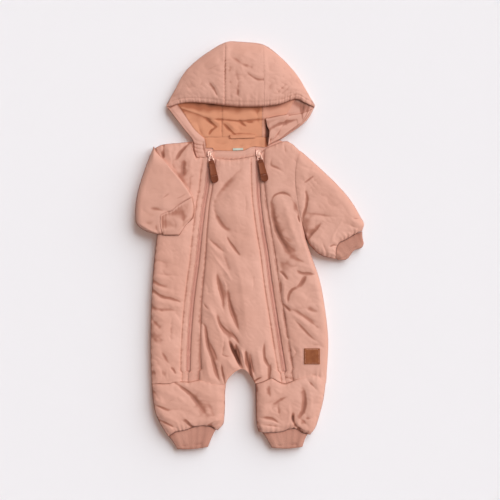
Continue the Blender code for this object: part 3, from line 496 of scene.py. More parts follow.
def crease_rows(text):
    """Reads a table of creases, in mm: kind, height, width (a lap has two), then the line's points."""
    kinds = {"soft": soft, "pinch": pinch, "lap": lap}
    table = []
    for kind, *words in map(str.split, text.strip().splitlines()):
        points, sizes = row_parts(words)
        table.append(kinds[kind](points, *sizes))
    return table


def shade_rows(text):
    """Reads a table of painted shade lines: depth, then the width in mm to the left and right, then the
    points.
    """
    rows = [row_parts(row.split()) for row in text.strip().splitlines()]
    return [(points, *sizes) for points, sizes in rows]


def beside(grid, points):
    """Each point's distance from a smooth line, its share along it, and whether it is left of it."""
    path = curve(points, 21) if len(points) > 2 else spread(points, 9)
    a, way = path[:-1], np.diff(path, axis=0)
    rel = grid[..., None, :] - a
    t = np.clip((rel * way).sum(-1) / (way**2).sum(-1), 0, 1)
    off = rel - t[..., None] * way
    gap = np.linalg.norm(off, axis=-1)
    k = gap.argmin(axis=-1)
    pick = np.take_along_axis
    nearest = pick(gap, k[..., None], -1)[..., 0]
    share = (k + pick(t, k[..., None], -1)[..., 0]) / len(a)
    cross = way[k][..., 0] * pick(rel[..., 1], k[..., None], -1)[..., 0] \
        - way[k][..., 1] * pick(rel[..., 0], k[..., None], -1)[..., 0]
    return nearest, share, cross > 0


def creased(grid, levels, creases, press=1.0):
    """The levels with each crease added, pressed in more or less, dying away at both its ends."""
    levels = levels.copy()
    for points, high, left, right, power in creases:
        near = 4.2 * max(left, right)
        p = np.array(points, float)
        inside = ((grid > p.min(axis=0) - near) & (grid < p.max(axis=0) + near)).all(axis=-1)
        if not inside.any():
            continue
        gap, share, on_left = beside(grid[inside], points)
        taper = np.sin(np.pi * np.clip(share, 0.02, 0.98)) ** 0.55
        wide = np.where(on_left, left, right)
        core = np.exp(-((gap / np.maximum(1.5, 0.6 * wide)) ** power))
        skirt = np.exp(-((gap / (1.55 * wide)) ** 2))
        levels[inside] += press * high * taper * (0.5 * core + 0.5 * skirt)
    return levels


def shaded(grid, lines):
    """Painted shade: how far cloth lies in its own shade, from (line, depth, width on its left and
    right).
    """
    total = np.zeros(grid.shape[:2])
    for points, deep, left, right in lines:
        gap, share, on_left = beside(grid, points)
        taper = np.sin(np.pi * np.clip(share, 0.02, 0.98)) ** 0.6
        total += deep * taper * np.exp(-((gap / np.where(on_left, left, right)) ** 2))
    return total


def averted(grid, side, deep, wide):
    """Painted shade on an edge that rolls away from the lamp."""
    return deep * np.exp(-((away(grid, side) / wide) ** 1.5))


def stepped(grid, levels, line, high, wide):
    """The levels raised on the left of a line, where cloth lies over other cloth."""
    gap, _, on_left = beside(grid, line)
    t = np.clip(np.where(on_left, gap, -gap) / wide + 0.5, 0, 1)
    return levels + high * t * t * (3 - 2 * t)


# %% Seams and wear
def ripple(along, pitch, seed):
    """An uneven wave along a seam, its puckers about a pitch apart."""
    draw = np.random.default_rng(seed)
    total = np.zeros(along.shape)
    for _ in range(9):
        total += np.sin(2 * math.pi * along / (pitch * draw.uniform(0.65, 1.9))
                        + draw.uniform(0, 2 * math.pi))
    return total / 3.0


def puckered(grid, levels, side, high, reach, pitch, seed, at=0.0):
    """Ripples across a seam along one edge, or along a line that far from it."""
    row = {"left": grid[:, 0], "right": grid[:, -1], "top": grid[0], "bottom": grid[-1]}[side]
    wave = ripple(lengths(row), pitch, seed)
    wave = wave[:, None] if side in ("left", "right") else wave[None, :]
    return levels + high * wave * np.exp(-(np.abs(away(grid, side) - at) / reach) ** 1.3)


def grooved(grid, levels, side, at, deep, wide):
    """The groove that a line of stitches presses in, that far from an edge."""
    return levels - deep * np.exp(-(((away(grid, side) - at) / wide) ** 2))


def worn(grid, levels, billow, crumple, seed, sides=("left", "right", "top", "bottom"), fade=9.0):
    """Slow billows of wadding and fine crumples of the shell, none of either on the seams."""
    free = np.minimum.reduce([np.clip(away(grid, side) / fade, 0, 1) for side in sides])
    folds = (np.abs(billows(grid, 46.0, seed + 1, (1.0, 0.55), 0.6)) - 0.7) * 0.6
    folds = folds + (np.abs(billows(grid, 21.0, seed + 2, (1.0, 0.6), -0.5)) - 0.7) * 0.4
    return levels + free * (billow * billows(grid, 40.0, seed) + crumple * folds)


# %% [markdown]
# A wall becomes a mesh by joining its two faces round the rim. Tubes, for legs, sleeves and
# cuffs, run over the top, back underneath, and round an inner slot that is open at both ends.
# Cloth that lies on other cloth takes its underside from a ray that looks down on what is there.

# %% Meshes
PIECES = {}


def hollows_of(levels, reach=4.0):
    """How far each point lies below (above 0) or above the surface around it, from -1 to 1."""
    flat = levels
    for _ in range(2):
        wide = max(1, int(round(reach / CELL)))
        for axis in (0, 1):
            ends = [(wide, wide) if k == axis else (0, 0) for k in (0, 1)]
            run = np.cumsum(np.pad(np.pad(flat, ends, mode="edge"),
                                   [(1, 0) if k == axis else (0, 0) for k in (0, 1)]), axis=axis)
            count = 2 * wide + 1
            flat = (np.take(run, range(count, run.shape[axis]), axis)
                    - np.take(run, range(run.shape[axis] - count), axis)) / count
    return np.clip((flat - levels) / 1.2, -1, 1)


def painted_shade_of(levels):
    """Painted shade from hollows of two sizes together: narrow creases and the broad dips between folds.
    """
    return np.clip(hollows_of(levels) + 0.45 * hollows_of(levels, 11.0), -1, 1)


def faced(name, points, faces, finish, body="suit", smooth=46, hollow=None):
    """One closed mesh in metres, facing out, with its finish and body."""
    built = bmesh.new()
    verts = [built.verts.new(Vector(p) * MM) for p in points]
    for face in faces:
        built.faces.new([verts[i] for i in face])
    bmesh.ops.recalc_face_normals(built, faces=built.faces)
    mesh = bpy.data.meshes.new(name)
    built.to_mesh(mesh)
    built.free()
    mesh.shade_smooth()
    mesh.set_sharp_from_angle(angle=math.radians(smooth))
    # Painted shade: each point's share of painted shade is stored as the hollow attribute, which the
    # finishes darken by.
    if hollow is not None:
        marks = mesh.attributes.new("hollow", "FLOAT", "POINT")
        marks.data.foreach_set("value", np.resize(hollow, len(points)).astype(np.float32))
    made = bpy.data.objects.new(name, mesh)
    bpy.context.scene.collection.objects.link(made)
    finish.on(made)
    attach(made, body)
    PIECES[name] = made
    return made


def strip(row, step=1):
    """Pairs of neighbours along a ring."""
    return list(zip(row, row[step:] + row[:step]))


def wall(name, grid, top, under, finish, least=0.8, shade=0.0):
    """A closed wall with its outer face at one level and its lower face at another."""
    rows, cols = grid.shape[:2]
    under = np.broadcast_to(under, (rows, cols))
    top = np.maximum(top, under + least)
    points = [*np.dstack([grid, top]).reshape(-1, 3), *np.dstack([grid, under]).reshape(-1, 3)]
    low = rows * cols
    faces = []
    for r in range(rows - 1):
        for c in range(cols - 1):
            a = r * cols + c
            faces.append((a, a + 1, a + cols + 1, a + cols))
            faces.append((low + a, low + a + cols, low + a + cols + 1, low + a + 1))
    rim = [c for c in range(cols)] + [r * cols + cols - 1 for r in range(1, rows)]
    rim += [(rows - 1) * cols + c for c in range(cols - 2, -1, -1)]
    rim += [r * cols for r in range(rows - 2, 0, -1)]
    faces += [(a, low + a, low + b, b) for a, b in strip(rim)]
    # Painted shade: hollows in the outer face plus the piece's own shade lines; the lower face gets
    # none.
    hollow = np.concatenate([(painted_shade_of(top) + shade).ravel(), np.zeros(low)])
    return faced(name, points, faces, finish, hollow=hollow)


def resting(grid, names, around=4.0, gap=0.4, floor=0.0):
    """The underside of cloth that lies on the pieces: just clear of the highest point nearby."""
    trees = [BVHTree.FromPolygons([v.co for v in PIECES[n].data.vertices],
                                  [f.vertices[:] for f in PIECES[n].data.polygons])
             for n in names]
    spots = [(0.0, 0.0)] + [(around * math.cos(k * math.pi / 3), around * math.sin(k * math.pi / 3))
                            for k in range(6)]
    levels = np.full(grid.shape[:2], float(floor))
    down = Vector((0, 0, -1))
    for r, row in enumerate(grid):
        for c, (x, y) in enumerate(row):
            for dx, dy in spots:
                for tree in trees:
                    hit = tree.ray_cast(Vector((x + dx, y + dy, 100)) * MM, down)[0]
                    if hit is not None:
                        levels[r, c] = max(levels[r, c], hit.z / MM + gap)
    for _ in range(3):
        wide = np.pad(levels, 1, mode="edge")
        mean = (wide[:-2, 1:-1] + wide[2:, 1:-1] + wide[1:-1, :-2] + wide[1:-1, 2:]) / 4
        levels = np.maximum(levels, mean)
    return levels


def area_of(piece, round_it):
    """The area of a piece's cloth in square metres: its outer face, or half a tube's skin."""
    if round_it:
        return sum(f.area for f in piece.data.polygons) / 2
    return sum(f.area for f in piece.data.polygons if f.normal.z > 0.05)


FULLNESS = 1.04     # what cloth gains over its plan by rising over the padding: a judgement
LEAST_CUT = 10.2    # a sheet's side can't be stated under 10 mm, so narrower cloth states this


def cut(piece, grid, round_it=False):
    """Works out a sheet's cut: its plan's widest row and longest column with fullness, and its area, and
    prints them.
    """
    ways = 2 if round_it else 1
    wide = max(lengths(row)[-1] for row in grid[::4]) * ways * FULLNESS
    long = max(lengths(grid[:, c])[-1] for c in range(0, grid.shape[1], 4)) * FULLNESS
    wide, long = max(wide, LEAST_CUT), max(long, LEAST_CUT)
    area = min(area_of(piece, round_it), 0.99 * wide * long * MM * MM)
    print(f"{piece.name:16s} cut {wide:5.0f} x {long:5.0f} mm, {area * 1e4:6.0f} cm2, "
          f"{len(piece.data.polygons)} faces")
    round(wide * MM, 4)
    round(long * MM, 4)


def tube(name, grid, low_grid, levels, wall_thick, slot_high, seam, finish, low=None, shade=0.0):
    """A tube smoothed flat. Levels are its top; low, where given, its underside's levels."""
    rows, cols = grid.shape[:2]
    wide = np.linalg.norm(grid[:, -1] - grid[:, 0], axis=1)[:, None]
    roll = np.minimum(rise(away(grid, "left"), 0, 7.0), rise(away(grid, "right"), 0, 7.0))
    low = seam * (1 - roll) + (0 if low is None else low * roll)
    inset = np.clip(wall_thick / wide, 0, 0.3)
    steps = np.linalg.norm(np.diff(grid, axis=1), axis=2)
    share = np.hstack([np.zeros((rows, 1)), np.cumsum(steps, axis=1)])
    share = share / share[:, -1:]
    inner, inner_low = grid.copy(), low_grid.copy()
    for r in range(rows):
        places = inset[r] + share[r] * (1 - 2 * inset[r])
        for made, source in ((inner, grid), (inner_low, low_grid)):
            made[r] = np.stack([np.interp(places, share[r], source[r, :, k]) for k in (0, 1)], axis=1)
    half = slot_high / 2 * (0.2 + 0.8 * np.sin(np.pi * share))
    outer = np.concatenate([np.dstack([grid, levels]), np.dstack([low_grid, low])[:, -2:0:-1]], axis=1)
    inside = np.concatenate([np.dstack([inner, seam + half]),
                             np.dstack([inner_low, seam - half])[:, -2:0:-1]], axis=1)
    ring = outer.shape[1]
    points = [*outer.reshape(-1, 3), *inside.reshape(-1, 3)]
    after = rows * ring
    faces = []
    for r in range(rows):
        for k in range(ring):
            a, b = r * ring + k, r * ring + (k + 1) % ring
            if r < rows - 1:
                faces.append((a, b, b + ring, a + ring))
                faces.append((after + a, after + a + ring, after + b + ring, after + b))
            if r in (0, rows - 1):
                faces.append((a, after + a, after + b, b))
    # Painted shade on the tube's top, from its hollows and its shade lines; the rest gets none.
    hollow = np.zeros((2 * rows, ring))
    hollow[:rows, :cols] = painted_shade_of(levels) + shade
    return faced(name, points, faces, finish, hollow=hollow.ravel())

# %% [markdown]
# ## The back
#
# The back panel lies under everything and shows only along the sides and from below. Its lower
# face is flat on the table, with a few shallow hollows where the cloth lifts off it.

# %% Outlines of the body
BACK_TOP = 7.0
LAID = BACK_TOP + 0.4
SIDE_TOP = 8.8
ARMPIT = 9.0
HEM_TOP = 10.6
FRONT_CROWN = 17.0
TAPE_HALF = 3.4
ZIP_END = -214.0
KNEE = -235.0
NECK = 184.0
SIDE_LEFT = [(-161, 166), (-155.4, 136), (-152, 94), (-154, 51), (-158, 16), (-163, -29),
             (-166, -68), (-168, -110), (-169, -170), (-167, -235)]
ZIP_LEFT = [(-66.2, 165), (-66.9, 150), (-69.2, 128), (-73.2, 94), (-77.3, 70), (-83, 26),
            (-88.7, -29), (-94, -68), (-98.7, -110), (-102.9, -170), (-104.5, -235)]
ZIP_RIGHT = [(13.5, 165), (14, 119), (16, 77), (22.5, 26), (29.5, -17), (36, -68),
             (42.5, -110), (52, -170), (62.5, -235)]
SIDE_RIGHT = [(84, 161), (77, 124), (79, 90), (85.5, 51), (96, 9), (106, -21), (119, -59),
              (126.5, -97), (132.5, -144), (133.5, -178), (130, -235)]
CROTCH = [(-40.3, KNEE), (-37.2, -227), (-30.5, -219.5), (-22.5, -212.8), (-13.5, -209.3), (-6, -212.5),
          (0, -219.5), (5, -227.5), (9.3, KNEE)]
NECK_LEFT = (-98, 176)
NECK_RIGHT = (58, 176.5)

# %% Back panel
ys = np.linspace(165, KNEE, 110)
left = at_levels(SIDE_LEFT, ys)
right = at_levels(SIDE_RIGHT, np.linspace(161, KNEE, 110))
neck = NECK - SEAM / 2
top = spread([left[0], NECK_LEFT, (-74, neck), (31, neck), NECK_RIGHT, right[0]], 121)
bottom = spread([left[-1], *curve(CROTCH, 40), right[-1]], 121)
grid = coons(top, bottom, left, right)
roll = np.minimum(rise(away(grid, "left"), 0, 6), rise(away(grid, "right"), 0, 6))
hollows = np.clip(billows(grid, 70, 5, (1.0, 0.5), 0.3) - 0.9, 0, 1) * 0.9
BACK_CREASES = [
    pinch([(-150, 30), (-110, 10), (-60, 14)], 0.7, 2.6),
    pinch([(120, -60), (70, -84), (20, -80)], 0.7, 2.6),
    pinch([(-150, -120), (-90, -150), (-30, -140)], 0.8, 2.8),
    pinch([(-40, -190), (-52, -150), (-50, -110)], 0.8, 3.0),
    pinch([(14, -200), (30, -160), (60, -130)], 0.8, 3.0),
    soft([(-60, 150), (-20, 120), (20, 150)], 0.6, 6.0),
]
under = 2.6 * (1 - roll) + (hollows + creased(grid, np.zeros(grid.shape[:2]), BACK_CREASES)) * roll
back = wall("back_panel", grid, np.full(under.shape, BACK_TOP), under, shell)
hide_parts("back")
cut(back, grid)

# %% [markdown]
# ## The three front panels
#
# Two zips part the front. Beside each zip the shell is turned in and stitched down, which makes
# a flat strip with a row of topstitching on it, and past the strip the wadding swells up. The
# folds run from where the cloth is held: in from the side seams, down the middle panel to the
# crotch, and round the bulge that the arm's wadding presses up on the right.

# %% Front panels: shared edges
def beside_zip(points, ys, way, closed=True):
    """A hem beside a zip: half the tape's width off its line, and closed below the zip's end."""
    edge = at_levels(points, ys)
    share = np.clip((ys - ZIP_END) / 3.0 + 1, 0, 1) if closed else 1.0
    edge[:, 0] += way * (TAPE_HALF * share + SEAM / 2)
    return edge


KNEE_LEFT = [(-167, -235), (-152, -235), (-138, -234.5), (-127, -231.2), (-113, -231.2),
             (-101, -231.6), (-90, -229.4), (-81, -228.6), (-69, -231.6), (-56, -235), (-40.3, -235)]
KNEE_RIGHT = [(9.3, -235), (21, -232), (31, -227.6), (38, -225.4), (48, -231), (58, -235),
              (68, -232.4), (80, -226.8), (94, -221.6), (106, -219.6), (118, -222.4), (130, -227.6)]


def knee(points, start, end, apart):
    """The seam over a knee between two x places, moved up or down by a distance."""
    row = curve(points, 200)
    row = row[(row[:, 0] >= start) & (row[:, 0] <= end)]
    first, last = ((x, np.interp(x, row[:, 0], row[:, 1])) for x in (start, end))
    return np.vstack([[first], row[1:-1], [last]]) + [0, apart]


def down(top_y, count):
    """Row levels from the top of a panel to its knee seam."""
    return np.linspace(top_y, KNEE + SEAM / 2, count)


ROWS = int(round(385 / CELL))
STRIP_TOP = 12.8
SEAM_TOP = 15.0
# Creases shape the cloth; each SHADES table lists lines of painted shade that darken its colour.
CREASES, SHADES = {}, {}


def middle_strip(y):
    """How wide the strip beside the middle panel's left zip is: it widens down the panel."""
    return np.clip(8.5 - 0.045 * y, 5.5, 18.0)


def to_tape(form, side):
    """How far a strip turns down to the zip's tape."""
    return 1.2 * (1 - np.clip(away(form, side) / 6.0, 0, 1)) ** 2


# %% Left front
CREASES["front_left"] = crease_rows("""
    pinch -2 2.8  -171,-57 -159,-63 -147,-69 -139,-71
    soft  0.9 4.5  -169,-49 -156,-54 -135,-59
    pinch -2.6 3  -173,-69 -161,-80 -147,-88 -134,-90 -112,-98
    soft  1.5 5.5  -169,-81 -156,-94 -135,-100 -115,-105
    soft  1.1 4  -168,-64 -152,-75 -127,-80
    soft  -1.7 4  -173,-98 -163,-107 -147,-110 -124,-109
    soft  -1.7 3.6  -171,-120 -161,-131 -149,-142
    soft  1.1 4  -171,-113 -158,-119 -142,-129
    pinch -0.7 2.2  -166,-46 -144,-50 -115,-52
    soft  0.5 4  -166,-37 -142,-40 -115,-44
    pinch -0.6 2.4  -166,-23 -142,-29 -118,-35
    soft  -0.5 5  -166,-6 -135,-12 -112,-6
    soft  -1.2 3.4  -133,-119 -133,-141 -134,-165
    soft  -1.3 5  -125,-107 -122,-119 -112,-132
    soft  0.9 7  -147,-127 -146,-158 -147,-178
    pinch -1.1 2.4  -151,-178 -144,-188 -137,-202
    pinch -1.6 2.4  -134,-206 -130,-211 -124,-219
    soft  -1 5  -169,-151 -159,-161 -142,-163
    soft  -0.9 4  -169,-190 -158,-197 -149,-212
    pinch -1 2  -164,-209 -164,-219 -165,-231
    pinch -1 1.8  -150,-210 -147,-219 -149,-227
    pinch -0.9 1.6  -142,-212 -144,-221 -141,-229
    pinch -0.7 1.6  -137,-214 -138,-222 -135,-231
    soft  0.6 5  -125,-192 -113,-205 -112,-222
    pinch -1.4 2.8  -101,118 -101,104 -102,89
    soft  -2.3 4.4  -111,148 -112,133 -113,116
    soft  1.1 4.2  -100,145 -101,131 -104,118
    pinch -0.6 2  -101,115 -96,117 -90,114
    pinch -2.8 3.4  -145,174 -146,162 -147,145
    soft  1.6 3.6  -136,169 -136,153 -130,136
    pinch -1 2  -132,153 -131,141 -129,131
    soft  -1.2 3  -158,169 -152,160 -146,148
    lap   -3.2 2 3  -98,177 -107,168 -117,157 -125,145
    soft  1.2 4.5  -106,160 -108,150 -117,140
    soft  1.2 3.6  -122,169 -127,158 -132,148
    pinch -1 2  -105,40 -100,44 -94,48
    pinch -0.5 1.8  -96,124 -90,125 -81,125
    soft  0.4 3  -90,36 -95,9 -100,-29
""")
SHADES["front_left"] = shade_rows("""
    0.7 1.8 2.4  -167,-61 -159,-66 -149,-70
    0.9 1.6 2.2  -168,-69 -158,-80 -146,-88 -132,-91 -115,-97
    0.7 5 5  -165,-12 -164,-35 -166,-63
    0.5 5 5  -167,-90 -161,-105 -151,-114
    0.8 9 8  -169,-131 -163,-148 -154,-168
    0.9 2 2  -165,-210 -161,-215 -160,-226
    0.5 2.4 2.4  -151,-180 -144,-190 -139,-200
    0.9 2 2  -134,-207 -129,-212 -125,-219
    0.4 2 2  -147,-210 -143,-219 -141,-229
    0.8 5 5  -112,152 -112,135 -113,114
    0.5 9 9  -125,153 -113,128 -101,94
    1 3 3  -147,174 -146,162 -147,145
    0.6 3 3  -158,172 -152,162 -144,145
    1.2 2 3.4  -97,178 -107,168 -117,157 -124,145
    1.6 4 4  -105,182 -98,177 -96,164
    1.3 2 2.4  -99,177 -96,162 -91,153 -85,146
    0.7 4 2  -132,140 -118,116 -98,89
    0.5 1.8 1.8  -105,40 -100,44 -94,48
""")
ys = down(149.0, ROWS)
right = beside_zip(ZIP_LEFT, ys, -1)
even = beside_zip(ZIP_LEFT, ys, -1, False)
left = at_levels(SIDE_LEFT, down(165.0, ROWS))
shoulder = curve([left[0], (-147, 171), (-122, 173.5), NECK_LEFT], 60)
top = spread(np.vstack([shoulder, [(-95.3, 160), (-91.2, 149.2), right[0]]]), 72)
bottom = spread(knee(KNEE_LEFT, left[-1][0], right[-1][0], SEAM / 2), 72)
left[-1], right[-1] = bottom[0], bottom[-1]
grid, form = coons(top, bottom, left, right), coons(top, bottom, left, even)
LEFT_STRIP = 10.2
edges = {"left": (SIDE_TOP, 0, 15), "right": (STRIP_TOP, LEFT_STRIP, 24),
         "top": (12.0, 0, 12), "bottom": (SEAM_TOP, 0, 10)}
levels = crowned(form, FRONT_CROWN, edges)
levels = worn(form, levels, 0.35, 0.45, 11, ("left", "top", "bottom"))
levels = creased(grid, levels, CREASES["front_left"], 0.75)
levels = grooved(form, levels, "right", LEFT_STRIP, 0.25, 1.2)
levels = grooved(form, levels, "right", 2.2, 0.2, 1.0)
levels = puckered(form, levels, "right", 0.16, 4.0, 8.0, 12, LEFT_STRIP)
levels = puckered(form, levels, "bottom", 0.3, 7.0, 7.0, 13)
levels = puckered(form, levels, "left", 0.45, 9.0, 11.0, 14)
levels = puckered(form, levels, "top", 0.5, 6.0, 8.0, 15)
levels = levels - to_tape(form, "right") - 0.3 * np.exp(-((away(grid, "bottom") - 3.6) / 1.2) ** 2)
# Painted shade along the listed lines and down the left edge, which rolls away from the light.
shade = shaded(grid, SHADES["front_left"]) + averted(grid, "left", 1.05, 11.0)
front_left = wall("front_left_cloth", grid, levels, LAID, shell, shade=shade)
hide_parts("front_left")
cut(front_left, grid)
front_left_grid = grid

# %% Middle front
CREASES["front_centre"] = crease_rows("""
    lap   -1.6 7.5 4.5  -11,133 -28,116 -46,96 -58,79 -62,62
    soft  1.5 11  -5,114 -27,94 -40,72 -39,45
    soft  -1.6 5  -61,72 -56,50 -44,31 -30,25 -20,21
    soft  -1.1 6  -35,22 -28,12 -23,-1
    pinch -1.9 2.2  -70,12 -57,0 -42,-12
    soft  0.9 3.6  -71,4 -57,-10 -45,-22
    pinch -2.6 2.6  -40,16 -30,0 -16,-18
    soft  0.8 4  -59,16 -45,2 -32,-17
    pinch 1.3 2.4  -62,-18 -50,-33 -40,-46 -30,-61
    soft  -1.3 5  -45,-13 -39,-29 -32,-47
    lap   -3.5 5 3.4  -56,-46 -52,-68 -46,-91 -44,-112
    lap   -3.8 5.5 3.6  -39,-73 -35,-95 -28,-119 -17,-148
    soft  1.5 3.6  -48,-51 -40,-74 -37,-103
    soft  0.7 4.5  -64,-46 -62,-73 -57,-100
    lap   -2.6 3.4 5  -56,-114 -50,-134 -37,-148 -23,-159 -15,-173
    pinch -1.7 2.2  -39,-137 -28,-151 -16,-170
    soft  2.1 5.5  -78,-98 -65,-114 -54,-136 -46,-161
    pinch -1.7 2.2  -79,-97 -75,-103 -68,-111
    lap   -4 3 4.6  -84,-129 -76,-137 -73,-154 -70,-173 -63,-192
    soft  1.1 3.2  -83,-144 -79,-166 -76,-188
    pinch -1.9 2.4  -68,-165 -61,-180 -54,-197
    soft  -3.2 3.8  -66,-187 -60,-204 -56,-219 -49,-234
    soft  1.4 3.6  -74,-195 -71,-212 -66,-229
    pinch -2 2  -48,-199 -47,-214 -41,-238
    pinch -1.1 1.6  -48,-185 -40,-188 -32,-188
    pinch -1 1.6  -43,-158 -44,-171 -46,-187
    soft  1.8 5  -37,-192 -32,-202 -23,-210
    lap   -6.4 4.2 3  -36,-161 -27,-179 -20,-195 -11,-211
    pinch -2.6 2  -24,-167 -21,-178 -18,-192
    soft  2.4 2.6  -15,-176 -11,-192 -7,-209
    lap   -5.4 3.4 3.4  -7,-178 -4,-197 0,-217 5,-234
    pinch -2.4 2.2  1,-182 4,-205 11,-227
    pinch -2 1.8  6,-233 13,-227 22,-223
    soft  1.5 6  12,-170 17,-200 22,-233
    soft  -2 3  25,-163 24,-182 26,-197 33,-208
    pinch -1.6 2.2  25,-191 28,-197 33,-207
    lap   -2.8 2.8 4  36,-199 34,-216 33,-238
    soft  0.9 4  40,-175 43,-195 45,-219
    soft  1.3 8  -30,-8 -20,-39 -11,-93 -6,-153
    soft  -0.8 3.2  6,-52 7,-64 6,-76
    soft  -0.6 1.8  -35,134 -27,136 -16,136
    soft  -0.4 4  -47,126 -49,114 -44,101
    soft  -0.8 3  -8,84 -6,68 -7,53
    pinch -0.5 1.8  -79,-78 -69,-80 -57,-82
    soft  -0.7 3  -78,-61 -71,-73 -70,-86
    pinch -1.2 2.2  -85,-178 -83,-199 -79,-226
    soft  0.7 9  4,-93 7,-124 4,-158
    soft  -0.5 5  19,-86 23,-114 21,-144
    soft  -1.6 9  -18,124 -42,97 -57,75 -57,53 -42,31 -30,9
    soft  1.2 13  -15,111 -27,84 -23,56 -15,22
    soft  1.5 15  -11,17 -11,-34 -6,-93 1,-153
    soft  -1.7 9  -47,-22 -44,-59 -35,-102 -23,-144
    soft  -1 7  -76,-102 -71,-136 -64,-178 -56,-216
    soft  -1 5  -61,-124 -44,-144 -28,-166
    soft  -1.8 6  -28,-161 -18,-182 -6,-205 1,-229
""")
SHADES["front_centre"] = shade_rows("""
    0.35 7 6  -16,128 -37,104 -52,84 -61,63
    0.3 6 6  -61,68 -56,50 -44,31 -27,21
    0.5 2.4 2.4  -40,16 -30,0 -16,-18
    0.8 7 4  -55,-49 -50,-76 -44,-108
    0.75 4 7  -39,-73 -32,-102 -19,-139
    0.55 7 7  -61,-117 -47,-141 -32,-156 -18,-170
    0.9 5.5 5  -80,-129 -73,-158 -66,-185 -52,-226
    0.5 4 4  -69,-161 -61,-182 -54,-202
    3.6 3.4 2.2  -34,-163 -30,-177 -23,-190 -15,-208
    2.2 1.5 2.4  -23,-170 -23,-178 -22,-192
    0.8 3 3  -19,-173 -17,-187 -13,-202
    1.9 3 3  -7,-178 -7,-193 -8,-210
    2.6 1.7 2.2  -1,-182 1,-202 5,-224 11,-241
    1.8 1.3 1.8  6,-233 13,-227 22,-223
    0.7 2.6 2.6  25,-165 26,-185 32,-208
    1.1 3 3  35,-205 33,-219 33,-238
    1.2 1.4 1.4  -48,-199 -45,-217 -41,-238
    0.8 1.6 1.6  -83,-227 -71,-232 -57,-234
    0.8 1.6 1.6  -79,-97 -75,-103 -68,-111
    0.5 1.2 1.2  -47,-185 -40,-188 -32,-188
""")
ROWS_MID = ROWS
left = beside_zip(ZIP_LEFT, down(149.0, ROWS_MID), 1)
right = beside_zip(ZIP_RIGHT, down(152.0, ROWS_MID), -1)
even = [beside_zip(ZIP_LEFT, down(149.0, ROWS_MID), 1, False),
        beside_zip(ZIP_RIGHT, down(152.0, ROWS_MID), -1, False)]
start, end = left[-1][0], right[-1][0]
bottom = np.vstack([knee(KNEE_LEFT, start, -40.3, SEAM / 2), curve(CROTCH, 40)[1:-1],
                    knee(KNEE_RIGHT, 9.3, end, SEAM / 2)])
bottom = spread(bottom, 126)
left[-1], right[-1] = bottom[0], bottom[-1]
top = curve([left[0], (-28, 146), right[0]], 126)
grid, form = coons(top, bottom, left, right), coons(top, bottom, *even)
strip_left = middle_strip(grid[..., 1])
STRIP_RIGHT = 8.0
edges = {"left": (STRIP_TOP, strip_left, 16), "right": (STRIP_TOP, STRIP_RIGHT, 16),
         "top": (HEM_TOP, 0, 12), "bottom": (SEAM_TOP, 0, 10)}
levels = crowned(form, FRONT_CROWN, edges)
levels = worn(form, levels, 0.35, 0.36, 21, ("left", "right", "top", "bottom"), 14.0)
levels = creased(grid, levels, CREASES["front_centre"], 0.9)
levels = grooved(form, levels, "left", strip_left, 0.6, 1.2)
levels = grooved(form, levels, "right", STRIP_RIGHT, 0.45, 1.2)
levels = puckered(form, levels, "left", 0.2, 4.0, 9.0, 22, 9.0)
levels = puckered(form, levels, "right", 0.2, 4.0, 9.0, 23, STRIP_RIGHT)
levels = puckered(form, levels, "top", 0.4, 7.0, 7.0, 24)
levels = levels - to_tape(form, "left") - to_tape(form, "right")
front_centre = wall("front_centre_cloth", grid, levels, LAID, shell,
                    shade=shaded(grid, SHADES["front_centre"]))
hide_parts("front_centre")
cut(front_centre, grid)
front_centre_grid = grid

# %% Right front
CREASES["front_right"] = crease_rows("""
    pinch -1.1 2.2  37,150 36,141 37,135 46,131 58,124
    soft  0.8 4.5  43,145 50,140 60,135
    pinch -1.3 2.2  58,175 59,167 62,157
    pinch -0.8 2.2  50,177 40,167 35,153
    soft  -1.3 4  73,148 79,143 84,136
    pinch -0.7 1.6  81,124 78,106 77,84
    pinch -1.9 1.7  37,75 42,84 50,88 58,88 65,86 72,80
    soft  0.9 4.6  38,94 50,97 63,94 75,85
    soft  -5 6.4  36,80 38,63 41,43 47,22 58,2 70,-18
    soft  4.4 9  58,73 63,55 70,31 79,7 87,-17
    soft  -1.3 3.4  72,77 80,63 85,48
    pinch -2.4 1.5  82,51 83,45 85,39
    soft  0.8 2.6  57,12 67,4 82,0
    soft  -0.7 2  65,-1 74,-9 87,-11
    soft  -1.6 8  38,9 46,-13 55,-35 60,-59
    soft  -1.4 5.6  60,-29 72,-35 86,-34
    pinch -1 2  72,-21 80,-24 93,-29
    lap   -2.6 2.2 2.8  78,-41 87,-47 101,-48 114,-50
    soft  1.2 4  80,-32 96,-37 111,-40
    soft  1 5  94,-56 104,-64 116,-68
    pinch -2.2 2.2  50,-43 56,-48 65,-59
    pinch -1.6 1.8  53,-52 53,-68 54,-81
    soft  -3.6 3.6  96,-52 88,-63 79,-72
    lap   -2.8 3.6 2.4  80,-69 71,-76 66,-86 64,-102
    soft  1.3 2.8  59,-66 58,-81 58,-95
    soft  1.6 7  72,-83 84,-86 99,-93
    pinch -3 2.6  56,-97 61,-104 69,-112
    pinch -2.6 2.5  67,-107 84,-115 101,-127 120,-143
    soft  1.5 3.6  69,-115 84,-125 101,-139
    pinch -2 2.4  75,-125 88,-139 102,-153 117,-166
    pinch -1.1 2  84,-108 99,-121 114,-133
    soft  -1.6 3.6  97,-107 106,-111 118,-114
    soft  0.7 4  96,-100 108,-101 121,-100
    pinch -0.9 1.9  101,-77 111,-79 125,-78
    pinch -1.3 1.9  103,-167 116,-170 131,-175
    pinch -1.4 2  62,-141 64,-154 74,-162
    soft  -1.7 2.8  72,-171 79,-182 73,-192
    pinch -1.5 2  68,-178 70,-192 73,-209
    pinch -1.6 1.8  58,-110 59,-124 62,-141
    soft  0.7 4.5  84,-168 86,-185 87,-205
    pinch -1.5 2  125,-212 126,-221 129,-229
    soft  -0.6 2.6  118,-205 119,-212 117,-219
    pinch -1.3 1.9  37,-222 53,-223 69,-226 82,-229
    soft  0.8 5  103,-141 114,-151 126,-158
""")
